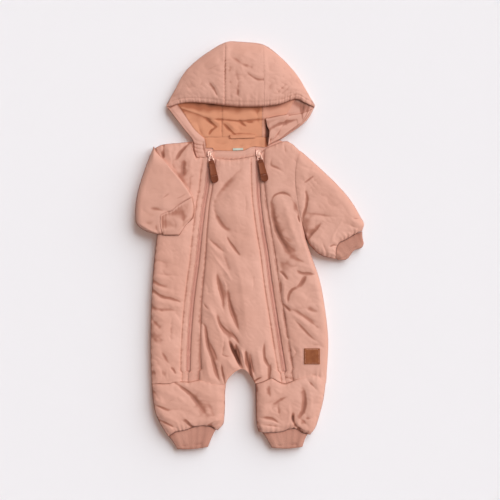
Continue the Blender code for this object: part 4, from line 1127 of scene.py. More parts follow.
SHADES["front_right"] = shade_rows("""
    1.45 9 7  36,79 39,62 42,43 48,24 58,5 69,-12 77,-25
    0.6 3 5  67,84 75,70 80,56
    1.1 1.6 1.6  37,73 41,83 50,88 60,88 71,81
    0.8 3 3  76,70 80,60 85,45
    1.8 1.3 1.3  82,50 83,45 85,38
    0.5 2.4 2.4  60,15 67,7 79,2
    0.8 14 12  69,-5 61,-29 56,-56
    0.8 3 3  71,-18 79,-24 89,-28
    0.9 1.8 3  79,-41 87,-47 101,-48 114,-50
    1.1 5 5  91,-51 91,-61 84,-71
    1 3 2  84,-70 71,-76 65,-86 64,-102
    1.2 1.8 1.8  50,-44 57,-49 64,-58
    0.9 2.2 2.2  52,-51 53,-66 54,-80
    1.5 2.4 2.4  56,-97 61,-104 70,-113
    0.6 2.4 2.4  58,-103 60,-119 62,-139
    0.5 10 10  70,-102 89,-105 114,-112
    0.6 2.2 3  77,-114 96,-125 116,-142
    0.5 2 2.4  77,-125 91,-142 114,-166
    0.7 1.4 1.4  63,-154 67,-158 73,-161
    0.6 3.4 3.4  67,-175 74,-185 71,-199
    0.4 2.2 2.2  101,-105 108,-108 116,-112
    0.7 1.8 1.8  125,-212 126,-221 129,-229
    0.6 2 2  57,175 60,167 61,157
    0.5 2 2.6  37,150 36,140 41,134 55,128
    0.5 1.6 1.6  36,-222 53,-223 69,-226 82,-229
""")
ys = down(152.0, ROWS)
left = beside_zip(ZIP_RIGHT, ys, 1)
even = beside_zip(ZIP_RIGHT, ys, 1, False)
right = at_levels(SIDE_RIGHT, down(161.0, ROWS))
shoulder = curve([(31, 166.4), NECK_RIGHT, (72, 172), right[0]], 50)
top = spread(np.vstack([[left[0], (22, 160)], shoulder]), 66)
bottom = spread(knee(KNEE_RIGHT, left[-1][0], right[-1][0], SEAM / 2), 66)
left[-1], right[-1] = bottom[0], bottom[-1]
grid, form = coons(top, bottom, left, right), coons(top, bottom, even, right)
RIGHT_STRIP = 12.0
shoulder_share = rise(grid[:, -1:, 1], ARMPIT + 4, 60.0)
edges = {"left": (STRIP_TOP, RIGHT_STRIP, 22), "right": (SIDE_TOP + 8.0 * shoulder_share, 0, 14),
         "top": (12.0, 0, 12), "bottom": (SEAM_TOP, 0, 10)}
levels = crowned(form, FRONT_CROWN, edges)
levels = worn(form, levels, 0.35, 0.45, 31, ("right", "top", "bottom"))
levels = creased(grid, levels, CREASES["front_right"], 0.64)
levels = grooved(form, levels, "left", RIGHT_STRIP, 0.35, 1.2)
levels = grooved(form, levels, "left", 2.2, 0.2, 1.0)
levels = puckered(form, levels, "left", 0.2, 4.0, 9.0, 32, RIGHT_STRIP)
levels = puckered(form, levels, "bottom", 0.3, 7.0, 8.0, 33)
levels = puckered(form, levels, "right", 0.12, 9.0, 11.0, 34)
levels = puckered(form, levels, "top", 0.4, 6.0, 9.0, 35)
levels = levels - to_tape(form, "left")
front_right = wall("front_right_cloth", grid, levels, LAID, shell,
                   shade=shaded(grid, SHADES["front_right"]))
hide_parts("front_right")
cut(front_right, grid)
front_right_grid = grid

# %% Neck binding
bound = curve([(-61.9, 161), (-47, 160.4), (-28.4, 159.8), (-15, 159.9), (-7, 161.6), (0.5, 165.8),
               (8.9, 167.2)], 70)
lower = curve([(-72.5, 149), (-28, 146), (10.5, 152)], 70) + [0, SEAM]
lower[0], lower[-1] = front_centre_grid[0, 0] + [0, SEAM], front_centre_grid[0, -1] + [0, SEAM]
steps = np.linspace(0, 1, 13)[:, None, None]
grid = bound * (1 - steps) + lower * steps
levels = 10.2 + 1.5 * np.sin(np.pi * np.linspace(0.12, 0.9, 13))[:, None] * np.ones((13, 70))
levels[:, :10] -= np.linspace(0.9, 0, 10)
levels[:, -10:] -= np.linspace(0, 0.9, 10)
levels = grooved(grid, levels, "top", 3.0, 0.5, 0.9)
levels = puckered(grid, levels, "bottom", 0.25, 5.0, 6.0, 41)
SHADES["neck_binding"] = shade_rows("""
    0.5 1 1  -54,153 -40,151 -27,151 -11,153
    0.35 0.9 0.9  -44,157 -27,156 -11,158
    0.5 1.4 1.4  -64,162 -57,158 -47,158
""")
binding = wall("neck_binding_cloth", grid, levels, LAID, shell,
               shade=shaded(grid, SHADES["neck_binding"]))
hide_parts("neck_binding")
cut(binding, grid)
binding_grid = grid

# %% [markdown]
# ## Zips
#
# Each zip is a woven tape with a coil of teeth down its middle. The coil is one tooth modelled
# once and copied down the line: a short bar across the coil, arched a little, so light catches
# every tooth. At the lower end the tape is stitched off.

# %% Zip tapes
zips = {}
for side, points, top_y in (("left", ZIP_LEFT, 162.5), ("right", ZIP_RIGHT, 163.5)):
    ys = np.linspace(top_y, ZIP_END + 0.9, 200)
    centre = at_levels(points, ys)
    offsets = np.array([-3.25, -2.9, -2.2, -1.7, -1.2, -0.6, 0, 0.6, 1.2, 1.7, 2.2, 2.9, 3.25])
    grid = centre[:, None, :] + np.stack([offsets, np.zeros(13)], axis=1)[None]
    profile = np.array([8.7, 8.9, 8.8, 8.5, 8.9, 9.3, 9.35, 9.3, 8.9, 8.5, 8.8, 8.9, 8.7])
    levels = profile[None, :] + 0.12 * ripple(lengths(centre), 12.0, 51)[:, None]
    made = wall(f"zip_{side}_tape", grid, levels, LAID, tape)
    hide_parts(f"zip_{side}")
    cut(made, grid)
    zips[side] = centre

# %% [markdown]
# ## Legs and ankle cuffs
#
# A lower leg is a padded tube smoothed flat, sewn to the fronts across the knee and gathered
# into a ribbed cuff. Its wadding blouses over the cuff, which makes the lip with a hollow under
# it, darkened by its own shadow and by painted shade along the cuff's top. The cuff's ribs are
# knitted 2 mm apart, and they fan out where the hem pulls them.

# %% Legs
SLOT = 7.8
LEG_CROWN = 19.0
TUBE_WALL = 6.0
SHADES["leg_left"] = shade_rows("""
    0.8 4 3.4  -129,-232 -112,-244 -96,-258 -86,-272
    0.85 15 13  -95,-250 -83,-272 -67,-299
    2 2.8 3.6  -111,-293 -103,-300 -96,-307
    1.2 2.6 2.6  -100,-307 -86,-309 -71,-308
    1.5 3 2  -76,-309 -68,-304 -61,-299 -50,-297
    1.7 3.6 3.6  -73,-306 -66,-307 -57,-316
    0.9 1.8 2.4  -164,-268 -152,-273 -140,-279
    0.9 1.8 2.6  -159,-295 -142,-301 -126,-310
    0.8 7 6  -168,-243 -163,-253 -161,-267
    0.5 2 2  -166,-241 -158,-244 -152,-250
    0.5 1.4 1.4  -132,-231 -115,-232 -96,-233
""")
SHADES["leg_right"] = shade_rows("""
    1.2 4 6  91,-244 93,-263 90,-282 80,-295
    0.4 8 8  80,-250 84,-263 82,-280
    0.7 5 5  31,-236 32,-248 36,-260
    0.4 8 8  19,-250 28,-261 41,-270
    0.6 1.8 2.2  38,-271 51,-262 63,-256
    0.8 1.8 3  14,-291 35,-292 50,-301
    0.6 1.8 2.4  18,-304 38,-305 58,-309
    2.6 2.2 2.2  74,-284 73,-294 75,-303
    2.2 1.6 2.2  75,-302 84,-309 96,-316
    1.9 2.2 2.6  78,-312 87,-319 104,-321
    0.9 5 5  75,-290 86,-299 97,-304
    0.9 3 3  12,-297 18,-309 23,-318
    0.5 4 4  50,-270 50,-282 52,-292
    0.6 1.8 2.4  96,-226 105,-235 116,-247
    1.2 2.4 2.4  11,-236 12,-241 13,-251
    0.6 3 3  94,-290 101,-294 109,-292
""")
CREASES["leg_left"] = crease_rows("""
    lap   -4 6 4.2  -130,-230 -117,-239 -101,-252 -88,-267 -74,-287
    pinch -1.8 2.4  -130,-231 -118,-239 -101,-252
    soft  2.2 7.5  -147,-248 -125,-256 -105,-270 -91,-289
    soft  1.2 6  -96,-239 -79,-251 -61,-260
    soft  -1.3 5  -71,-267 -64,-280 -59,-292
    soft  -1.9 3.8  -171,-241 -161,-250 -153,-263
    soft  0.9 3.6  -166,-253 -158,-263 -142,-267
    pinch -2.2 2.4  -164,-270 -152,-274 -135,-280
    pinch -1 2.2  -161,-280 -153,-289 -152,-299
    pinch -2.5 2.5  -156,-295 -141,-302 -120,-312
    soft  1.5 4.5  -152,-287 -135,-294 -115,-304
    lap   2.6 6 1.5  -113,-290 -106,-295 -97,-304 -89,-307 -73,-306 -66,-301 -56,-297 -40,-296
    lap   -3.4 1.8 3.4  -110,-299 -101,-306 -89,-311 -71,-311 -62,-305 -52,-303
    soft  -1 1.5  -125,-314 -124,-319 -123,-326
    pinch -1 2.4  -152,-311 -141,-316 -132,-324
    pinch -0.5 3.4  -108,-256 -108,-268 -113,-282
    pinch -0.6 1.8  -117,-238 -112,-234 -98,-236
    pinch -1.2 2  -83,-228 -69,-232 -54,-236
""")
CREASES["leg_right"] = crease_rows("""
    pinch -2.1 2.2  94,-224 105,-235 117,-249
    soft  0.9 3.6  86,-231 96,-239 104,-251
    lap   -4.4 3.6 5  91,-244 94,-263 91,-280 82,-295
    soft  1.6 4.6  102,-250 104,-267 101,-287
    pinch -0.9 1.8  104,-270 113,-269 123,-271
    pinch -1.2 2.2  36,-273 51,-263 67,-255
    soft  0.6 3.2  41,-243 53,-250 65,-244
    pinch -1.2 2.8  33,-238 32,-248 36,-258
    pinch -1.8 2.2  16,-292 36,-294 53,-304
    pinch -1.8 2.2  18,-304 38,-306 62,-310
    soft  1 2.2  21,-299 38,-300 57,-307
    soft  -1.1 3  49,-267 49,-280 52,-292
    soft  0.8 4.4  31,-277 38,-284 58,-287
    lap   -4.2 2.6 2.6  73,-286 74,-297 80,-309 89,-316 101,-318
    pinch 1.6 1.8  79,-301 91,-311 106,-317
    pinch -1.5 2  84,-292 92,-299 101,-309
    soft  -1.6 2.6  94,-292 101,-294 109,-292
    pinch -2.6 2.4  76,-312 87,-321 104,-322
    soft  1.3 4  65,-270 67,-284 67,-301
    soft  0.9 2.4  19,-316 38,-317 58,-317
    soft  -0.7 4  12,-250 21,-261 21,-277
    pinch -0.9 2.6  111,-278 113,-294 109,-309
""")
LEGS = {
    "left": {"left": [(-167.3, -235.3), (-165.2, -263), (-161, -285), (-151, -307), (-138.4, -326)],
             "right": [(-40.3, -235.3), (-41.8, -252), (-42, -275), (-43.2, -294), (-45, -304.5),
                       (-54.5, -315)],
             "end": [(-138.4, -326), (-126, -317.5), (-110, -314.5), (-97, -309.5), (-80, -306.5),
                     (-67, -308.5), (-54.5, -315)],
             "cuff_end": [(-124.1, -347.1), (-97, -346.8), (-70.7, -343.2)], "knee": KNEE_LEFT,
             "tucked": (0, 3)},
    "right": {"left": [(9.3, -235.3), (10, -263), (10.4, -288), (11.6, -306), (14.5, -317)],
              "right": [(129.7, -235.3), (125.5, -263), (120, -285), (112.5, -309), (103, -322.5)],
              "end": [(14.5, -317), (26, -318.6), (42, -318), (56, -316.5), (66, -312.5), (78, -312),
                      (90, -319), (103, -322.5)],
              "cuff_end": [(36.7, -344.6), (63, -346), (90.1, -343.2)], "knee": KNEE_RIGHT,
              "tucked": (6, 4)},
}


def sewn_to(row, count, apart):
    """Even places along a row, moved off it to its right (or, below 0, its left)."""
    read = spread(row, count)
    slope = np.gradient(read, axis=0)
    right = np.stack([slope[:, 1], -slope[:, 0]], axis=1)
    return read + apart * right / np.linalg.norm(right, axis=1)[:, None]


def swollen(grid, crown, start, end, reach=16.0):
    """A flattened tube's top: round at both sides, lower where it is sewn on."""
    wide = np.linalg.norm(grid[:, -1] - grid[:, 0], axis=1)[:, None]
    reach = np.minimum(reach, 0.3 * wide)
    side = np.minimum(rise(away(grid, "left"), 0, reach), rise(away(grid, "right"), 0, reach))
    crown = crown - (crown - start) * (1 - rise(away(grid, "top"), 0, 14.0))
    crown = crown - (crown - end) * (1 - rise(away(grid, "bottom"), 0, 12.0))
    return SLOT + (crown - SLOT) * side, side


def knitted(name, top_row, end_row, slot_from):
    """A ribbed cuff: ribs 2 mm apart run down a flattened tube that draws in a little halfway."""
    ribs = int(round(lengths(top_row)[-1] / 2.0))
    cols = ribs * 6 + 1
    rows = 22
    first, last = sewn_to(top_row, cols, slot_from), curve(end_row, cols)
    t = np.linspace(0, 1, rows)[:, None, None]
    grid = first * (1 - t) + last * t
    middle = grid.mean(axis=1, keepdims=True)
    grid = middle + (grid - middle) * (1 - 0.03 * np.sin(np.pi * t))
    wide = np.linalg.norm(grid[:, -1] - grid[:, 0], axis=1)[:, None]
    side = np.minimum(rise(away(grid, "left"), 0, 9), rise(away(grid, "right"), 0, 9))
    ridge = 0.5 + 0.5 * np.cos(2 * np.pi * np.arange(cols) / 6)[None, :]
    t = t[..., 0]
    seam = 5.0
    puffed = 11.0 + 0.5 * np.sin(np.pi * t) - 1.6 * np.clip((t - 0.86) / 0.14, 0, 1) ** 2
    across = np.arange(cols) * wide[0, 0] / cols
    folds = 0.5 * ripple(across, 16.0, 63) + 0.15 * ripple(across, 6.5, 62) * np.exp(-3 * t)
    lip = np.exp(-(((t - 0.80) / 0.07) ** 2)) * np.clip(ripple(across, 30.0, 64) + 0.4, 0, 1)
    levels = seam + (puffed - seam + 0.3 * ridge + folds - 1.2 * lip) * side
    # Painted shade down the cuff's left side and along its top, under the hem's lip.
    shade = averted(grid, "left", 0.9, 12.0) + averted(grid, "top", 0.35, 3.0)
    made = tube(name + "_knit", grid, grid, levels, 3.0, 3.0, seam, rib, 0.6 * (1 - ridge), shade)
    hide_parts(name)
    cut(made, grid, True)
    return made


leg_ends = {}
for side, shape in LEGS.items():
    count_rows, count_cols = int(96 / CELL), int(132 / CELL)
    left, right = curve(shape["left"], count_rows), curve(shape["right"], count_rows)
    straight = spread([left[0], right[0]], count_cols)
    top = spread(knee(shape["knee"], left[0][0], right[0][0], -SEAM / 2), count_cols)
    bottom = curve(shape["end"], count_cols)
    low_grid = coons(straight, bottom, left, right)
    left, right = left.copy(), right.copy()
    left[0], right[0] = top[0], top[-1]
    ease = np.exp(-np.arange(count_rows) / 4.0)[:, None]
    left += (top[0] - straight[0]) * ease * (np.arange(count_rows) > 0)[:, None]
    right += (top[-1] - straight[-1]) * ease * (np.arange(count_rows) > 0)[:, None]
    grid = coons(top, bottom, left, right)
    levels, puff = swollen(grid, LEG_CROWN, SEAM_TOP, 11.5)
    seed = 71 if side == "left" else 81
    levels = worn(grid, levels, 0.42, 0.54, seed)
    levels = creased(grid, levels, CREASES[f"leg_{side}"], 0.66)
    levels = puckered(grid, levels, "top", 0.3, 6.0, 8.0, seed + 1)
    levels = puckered(grid, levels, "bottom", 0.8, 9.0, 7.5, seed + 2)
    levels = puckered(grid, levels, "left", 0.5, 8.0, 10.0, seed + 3)
    levels = puckered(grid, levels, "right", 0.5, 8.0, 10.0, seed + 4)
    levels = np.maximum(levels, SLOT + 0.55 * TUBE_WALL * puff)
    low = 0.7 * np.clip(billows(grid, 30, seed + 5) - 0.8, 0, 1)
    # Painted shade along the listed lines and down the leg's left side.
    shade = shaded(grid, SHADES[f"leg_{side}"]) + averted(grid, "left", 1.1, 12.0)
    leg = tube(f"leg_{side}_cloth", grid, low_grid, levels, TUBE_WALL, 2.6, SLOT, shell, low,
               shade)
    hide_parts(f"leg_{side}")
    cut(leg, grid, True)
    leg_ends[side] = grid
    first, last = shape["tucked"]
    knitted(f"ankle_cuff_{side}", bottom[first:len(bottom) - last], shape["cuff_end"], 2 * SEAM)

# %% [markdown]
# ## Sleeves, cuff and mitten
#
# The right sleeve reaches out from its armhole to a cuff like the ankles'. The left one is
# folded over the chest, so what shows is a flat triangle with a crisp folded edge, and at its
# end a mitten flap, drawn in by elastic, is turned back over the cuff.

# %% Right sleeve
CREASES["sleeve_right"] = crease_rows("""
    lap   -3.4 3.8 2.4  94,94 97,79 95,63 90,48 91,34
    pinch -1.2 1.2  90,104 100,111 110,119
    soft  -1.6 3.8  87,133 101,130 118,124
    soft  1 4  86,121 92,116 96,101
    pinch -0.6 1.8  108,108 118,114 135,117
    pinch -0.45 1.4  94,99 104,106 116,113
    pinch -0.5 1.4  96,92 106,99 120,107
    pinch -0.5 1.4  103,90 111,96 120,101
    pinch -0.45 1.4  92,109 101,101 109,90
    pinch -0.5 1.4  98,112 106,103 114,92
    pinch -0.45 1.4  105,115 112,108 120,99
    pinch -0.35 1.6  118,90 126,82 135,75
    pinch -0.35 1.6  116,72 126,67 131,56
    pinch -0.9 2.4  92,55 116,52 150,47
    soft  0.7 4  94,46 116,43 140,39
    lap   -2.3 2 4.4  122,39 113,27 103,16 95,-1
    soft  -1.4 4.4  92,39 95,26 91,12
    soft  1 4.5  130,34 120,16 111,-1
    pinch -1.6 1.9  171,47 181,45 193,46
    pinch -2 2.1  169,36 179,30 193,27
    soft  1 2  174,40 182,38 193,37
    soft  1.2 3.6  159,48 152,33 142,17 138,4
    pinch -0.8 2.4  154,34 147,21 144,7
    pinch -1.5 2.2  123,5 127,-5 131,-18
    pinch -2 1.8  134,-4 141,0 150,-1
    pinch -0.9 2  162,24 172,22 181,24
    pinch -0.8 2.2  108,-3 114,4 120,12
    soft  0.6 7  133,63 147,53 160,39
""")
UPPER = [(84.3, 161.3), (92, 156), (120.2, 130.6), (150.4, 101.7), (173.2, 74.5), (188.4, 48.6),
         (194.5, 36.4), (191.6, 24.6)]
LOWER = [(97.5, 8.8), (101.5, 1), (113, -11.5), (124, -18.3), (135, -21.6), (146.6, -23.4)]
SLEEVE_END = [(191.6, 24.6), (177.3, 17.6), (163.7, 9.5), (153.5, 4.6), (148.2, -2.4), (146.4, -12),
              (146.6, -23.4)]
count_rows, count_cols = int(150 / CELL), int(152 / CELL)
top = at_levels(SIDE_RIGHT, np.linspace(161.3, 8.8, count_cols)) + [0.08, 0]
left, right = curve(UPPER, count_rows), curve(LOWER, count_rows)
left[0], right[0] = top[0], top[-1]
bottom = curve(SLEEVE_END, count_cols)
grid = coons(top, bottom, left, right)
start = SIDE_TOP + 1.2 + 6.9 * rise(grid[:1, :, 1], ARMPIT + 4, 60.0)
levels, puff = swollen(grid, 18.2, start, 11.5)
levels = worn(grid, levels, 0.35, 0.45, 91)
levels = creased(grid, levels, CREASES["sleeve_right"], 0.75)
levels = puckered(grid, levels, "top", 0.12, 6.0, 8.0, 92)
levels = puckered(grid, levels, "bottom", 1.0, 8.0, 7.0, 93)
levels = puckered(grid, levels, "left", 0.35, 8.0, 10.0, 94)
levels = puckered(grid, levels, "right", 0.5, 8.0, 9.0, 95)
levels = np.maximum(levels, SLOT + 0.55 * TUBE_WALL * puff)
low = 0.7 * np.clip(billows(grid, 30, 96) - 0.8, 0, 1)
SHADES["sleeve_right"] = shade_rows("""
    0.9 2.4 3.2  96,94 97,79 95,63 90,48
    0.9 10 4  90,48 92,33 94,16 97,-1
    1 0.9 0.9  91,104 100,111 110,119
    0.65 12 6  94,58 98,41 97,19
    0.9 2 5  121,38 113,27 103,16 96,0
    0.8 4 4  97,-1 109,-12 126,-20 147,-23
    0.5 1.6 1.6  177,32 184,32 191,31
    0.7 1.6 1.6  172,26 181,25 191,28
    0.7 1.6 1.6  135,-3 142,0 148,0
    0.4 2 2  171,47 181,45 193,46
    0.25 2.4 2.4  92,55 116,52 150,47
    0.4 2.4 2.4  125,4 128,-6 131,-18
""")
sleeve_right = tube("sleeve_right_cloth", grid, grid, levels, TUBE_WALL, 2.6, SLOT, shell, low,
                    shaded(grid, SHADES["sleeve_right"]))
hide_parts("sleeve_right")
cut(sleeve_right, grid, True)
knitted("cuff_right", curve(SLEEVE_END, 60),
        [(194.5, 3.1), (189.9, -4.6), (177, -9.5), (167, -22.5), (159, -25.2), (149.4, -24.6)],
        -2 * SEAM)

# %% Left sleeve, folded over the chest
CREASES["sleeve_left"] = crease_rows("""
    pinch 0.8 1.6  -152,80 -146,85 -137,91
    pinch -0.7 1.8  -152,77 -144,82 -135,88
    pinch -0.9 2.2  -125,77 -113,83 -100,92
    soft  1.1 3  -129,68 -113,76 -96,84
    pinch -0.6 1.8  -127,64 -112,72 -96,79
    soft  -0.9 3.4  -169,63 -158,61 -146,59 -130,58
    pinch -0.7 1.8  -152,57 -142,57 -132,57
    soft  -0.6 5  -183,62 -171,53 -159,50
    soft  -0.5 5  -188,46 -176,39 -164,34
    soft  -0.8 2.4  -158,36 -157,28 -155,19
    pinch 0.7 1.6  -190,37 -176,29 -164,23 -156,19
    pinch -0.4 1.6  -192,44 -185,39 -176,36
""")
ELASTIC = [(-84, 89), (-97, 82), (-110, 74), (-123, 65), (-131, 58), (-142, 55), (-150, 50),
           (-151, 38), (-148, 9)]
outer = [(-163.4, 168), (-174.2, 141), (-187.2, 103), (-193.1, 76), (-194.6, 49), (-192, 35),
         (-177.5, 24), (-161, 18.5)]
inner = [(-149.3, 148), (-134, 131), (-115, 109), (-98, 84), (-95, 65), (-98, 48), (-108, 36),
         (-120, 19)]
count_rows, count_cols = int(172 / CELL), int(84 / CELL)
left, right = curve(outer, count_rows), curve(inner, count_rows)
grid = coons(spread([left[0], right[0]], count_cols), spread([left[-1], right[-1]], count_cols),
             left, right)
under = resting(grid, ["front_left_cloth", "back_panel"])
off_body = np.clip((-146 - grid[..., 0]) / 36, 0, 1)
low_end = np.clip((66 - grid[:, -1:, 1]) / 40, 0, 1)
edges = {"left": (8.6, 0, 12), "right": (21.6 - 3.6 * low_end, 0, 5 + 11 * low_end),
         "top": (14.5, 0, 26), "bottom": (16.0, 0, 9)}
levels = crowned(grid, 24.6 - 3.2 * off_body, edges)
levels = worn(grid, levels, 0.28, 0.23, 101, fade=14.0)
levels = creased(grid, levels, CREASES["sleeve_left"])
levels = stepped(grid, levels, ELASTIC, -3.4, 3.0)
levels = np.maximum(levels, under + 2.0)
levels = puckered(grid, levels, "right", 0.2, 5.0, 9.0, 102)
tuck = 3.0 * (1 - rise(away(grid, "left"), 0, 7)) * (under < 0.5)
SHADES["sleeve_left"] = shade_rows("""
    0.5 14 10  -185,77 -183,56 -169,39 -152,26
    0.5 2 2  -186,36 -173,28 -158,21
    0.5 1.4 1.4  -152,76 -144,81 -136,88
    0.35 2.2 2.2  -125,77 -113,83 -100,92
    0.5 2.2 2.2  -152,57 -142,57 -130,56
    0.4 4 4  -169,63 -158,61 -144,59
    0.5 2.4 2.4  -158,36 -157,28 -155,19
    0.9 1.6 1.6  -163,167 -163,162 -162,157
""")
# Painted shade along the listed lines and down the sleeve's left edge.
sleeve_left = wall("sleeve_left_cloth", grid, levels, under + tuck, shell, 2.0,
                   shaded(grid, SHADES["sleeve_left"]) + averted(grid, "left", 0.95, 12.0))
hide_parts("sleeve_left")
cut(sleeve_left, grid)

# %% Mitten flap
CREASES["mitten_left"] = crease_rows("""
    pinch -0.5 1.2  -145,53 -147,36 -146,16
    pinch -0.5 1.2  -140,55 -142,43 -141,16
    soft  -0.7 3.4  -117,60 -112,45 -113,28
    soft  -0.4 3.2  -130,48 -125,36 -127,22
    pinch -0.35 2.4  -108,68 -105,56 -108,43
    pinch -0.5 2  -108,39 -101,44 -95,46
""")
count_rows, count_cols = int(44 / CELL), int(66 / CELL)
left = curve([(-150.2, 49.6), (-150.4, 36), (-147, 17)], count_rows)
right = curve([(-96.6, 80.6), (-93.4, 62), (-96, 46), (-108, 34), (-118.5, 17)], count_rows)
top = curve([(-150.2, 49.6), (-142.5, 54.4), (-131.5, 57.4), (-123.3, 64.6), (-110, 73.2),
             (-96.6, 80.6)], count_cols)
grid = coons(top, curve([(-147, 17), (-132, 16.6), (-118.5, 17)], count_cols), left, right)
under = resting(grid, ["sleeve_left_cloth", "front_left_cloth"], 1.2)
edges = {"left": (0.7, 0, 10), "right": (0.9, 0, 16), "top": (0.9, 0, 7), "bottom": (1.2, 0, 6)}
thick = crowned(grid, 2.4, edges)
thick = worn(grid, thick, 0.25, 0.3, 113)
thick = creased(grid, thick, CREASES["mitten_left"])
thick = puckered(grid, thick, "top", 0.3, 5.0, 3.6, 112)
thick = np.maximum(thick, 0.7)
MITTEN_SHADES = [
    ([(-118, 63), (-112, 48), (-113, 29)], 0.4, 7.0, 7.0),
    ([(-147, 53), (-148, 36), (-146, 17)], 0.5, 1.1, 1.1),
    ([(-141, 55), (-143, 39), (-142, 17)], 0.5, 1.1, 1.1),
    ([(-129, 39), (-124, 33), (-118, 22)], 0.3, 4.0, 4.0),
]
# Painted shade: the whole flap is darkened by 0.5, as cloth in its fold's shade, and more along its
# creases.
mitten = wall("mitten_left_cloth", grid, under + thick, under, shell, 0.6,
              shaded(grid, MITTEN_SHADES) + 0.5)
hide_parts("mitten_left")
cut(mitten, grid)

# %% [markdown]
# ## The hood
#
# Three panels make the hood, with two seams over the crown. It lies open: its back layer on the
# table, its upper layer held up by its own wadding, and the rim, drawn in by a narrow elastic,
# stands clear so the lining shows. Puckers run along the seams, and short gathers cross the rim.

# %% Hood outlines
HOOD_EDGE, HOOD_CROWN, RIM_TOP, HOOD_WALL = 9.2, 26.6, 18.0, 3.4
CORNER_LEFT, CORNER_RIGHT = (-140.5, 235), (110, 234.5)
ARC = {
    "left": [(-140.8, 238), (-128, 263), (-109, 296), (-78, 323.5), (-42, 345.2)],
    "centre": [(-42, 345.2), (-14, 345.9), (23, 341.5)],
    "right": [(23, 341.5), (51, 321.5), (78.5, 292), (97, 262.5), (110.3, 237.5)],
}
RIM = {
    "left": [CORNER_LEFT, (-107.5, 242), (-69, 240), (-42, 236.5)],
    "centre": [(-42, 236.5), (-13.5, 234.3), (25, 235)],
    "right": [(25, 235), (51, 239), (78.5, 248), (93.5, 242), CORNER_RIGHT],
}
FRONT_EDGE_LEFT = [(-139.8, 240.5), CORNER_LEFT, (-115, 202), (-97, 179)]
FRONT_EDGE_RIGHT = [(109.5, 240), CORNER_RIGHT, (93.5, 209), (53, 180)]
CREASES["hood_left"] = crease_rows("""
    pinch -1.9 2.2  -72,279 -62,266 -50,243
    soft  1 3.4  -66,281 -56,267 -46,252
    pinch -0.8 3  -118,270 -96,267 -74,275
    soft  1 6  -112,262 -91,259 -74,264
    soft  -0.7 7  -84,311 -74,301 -62,298
    soft  0.9 6  -64,325 -54,311 -49,291
    soft  0.7 3  -127,260 -118,269 -108,277
    pinch -0.6 3  -49,318 -45,305 -46,288
    pinch 0.9 1.5  -112,239 -107,245 -100,252
    pinch 0.9 1.5  -104,240 -99,247 -92,253
    pinch 0.7 1.4  -96,241 -91,248 -86,252
    pinch 0.6 1.3  -118,238 -113,243 -108,248
    pinch 0.4 1.5  -79,241 -76,247 -74,252
""")
CREASES["hood_centre"] = crease_rows("""
    soft  -1.6 3.6  -35,322 -23,314 -11,305 4,300
    soft  1.1 3.4  -30,327 -10,321 12,311
    pinch 0.7 2.4  -16,332 2,328 21,318
    soft  -1 3.2  2,308 5,298 12,291
    pinch -1.6 2.2  -5,293 4,284 16,279 31,280
    soft  1.1 3  4,291 14,286 28,287
    soft  -1.5 3.6  -23,291 -19,276 -20,250
    pinch -1.2 2.4  -23,266 -20,259 -19,250
    pinch 0.8 2  1,266 12,271 28,278
    soft  0.8 4  -16,311 -13,300 -15,288
    pinch -0.7 1.2  -42,311 -35,312 -28,311
    pinch -0.7 1.2  -42,306 -35,306 -30,305
    pinch -0.7 1.2  -42,300 -35,300 -28,299
    pinch -0.6 1.2  -42,293 -35,294 -30,293
    pinch -0.6 1.6  -42,276 -35,277 -28,273
    soft  -0.6 2  -35,260 -32,250 -32,240
    pinch 0.9 1.3  -29,255 -29,249 -29,240
    pinch 1 1.4  -5,257 -5,249 -6,239
    pinch 0.7 1.4  11,259 10,250 11,240
    soft  -0.6 1.8  2,257 2,249 2,238
    soft  -0.6 1.6  -14,252 -13,245 -13,238
""")
CREASES["hood_right"] = crease_rows("""
    pinch 0.9 1.5  24,267 25,255 24,242
    pinch -0.8 1.7  46,257 53,264 62,272
    pinch -0.8 1.7  52,254 60,261 69,269
    soft  0.8 6  29,315 48,301 63,281
    pinch -0.4 3.4  26,325 40,315 52,298
    soft  0.7 4  31,274 45,276 58,283
    soft  -1 3.2  67,242 75,248 82,252
    pinch -0.9 2  80,251 91,245 101,239
    soft  0.8 5  69,267 82,264 91,257
    pinch 0.5 1.3  38,254 38,247 36,240
""")

SHADES["hood"] = shade_rows("""
    0.8 1.8 1.4  -41,325 -41,305 -41,274
    0.45 4 4  -37,318 -34,301 -35,281
    0.35 9 9  -78,320 -61,305 -47,294
    0.45 5 3  -118,274 -125,264 -132,252
    0.5 1.8 1.8  -71,279 -62,266 -50,243
    0.3 4 3  -112,274 -91,270 -74,276
    0.45 9 9  -30,317 -22,305 -17,288 -20,267
    0.55 2.4 5  -32,318 -15,307 1,301 7,291
    0.35 1.8 4  -32,325 -10,319 14,311
    0.5 1.8 1.8  -5,293 4,285 16,280 29,281
    0.5 6 5  -23,269 -20,260 -18,249
    0.4 2.4 2.4  -37,276 -30,273 -27,267
    0.3 3 3  7,262 9,254 9,243
    0.4 1.8 1.8  46,257 53,264 62,272
    0.4 1.8 1.8  53,254 62,261 69,269
    0.3 2 2  24,264 25,254 24,242
    0.3 2.4 2.4  31,259 38,266 45,274
""")

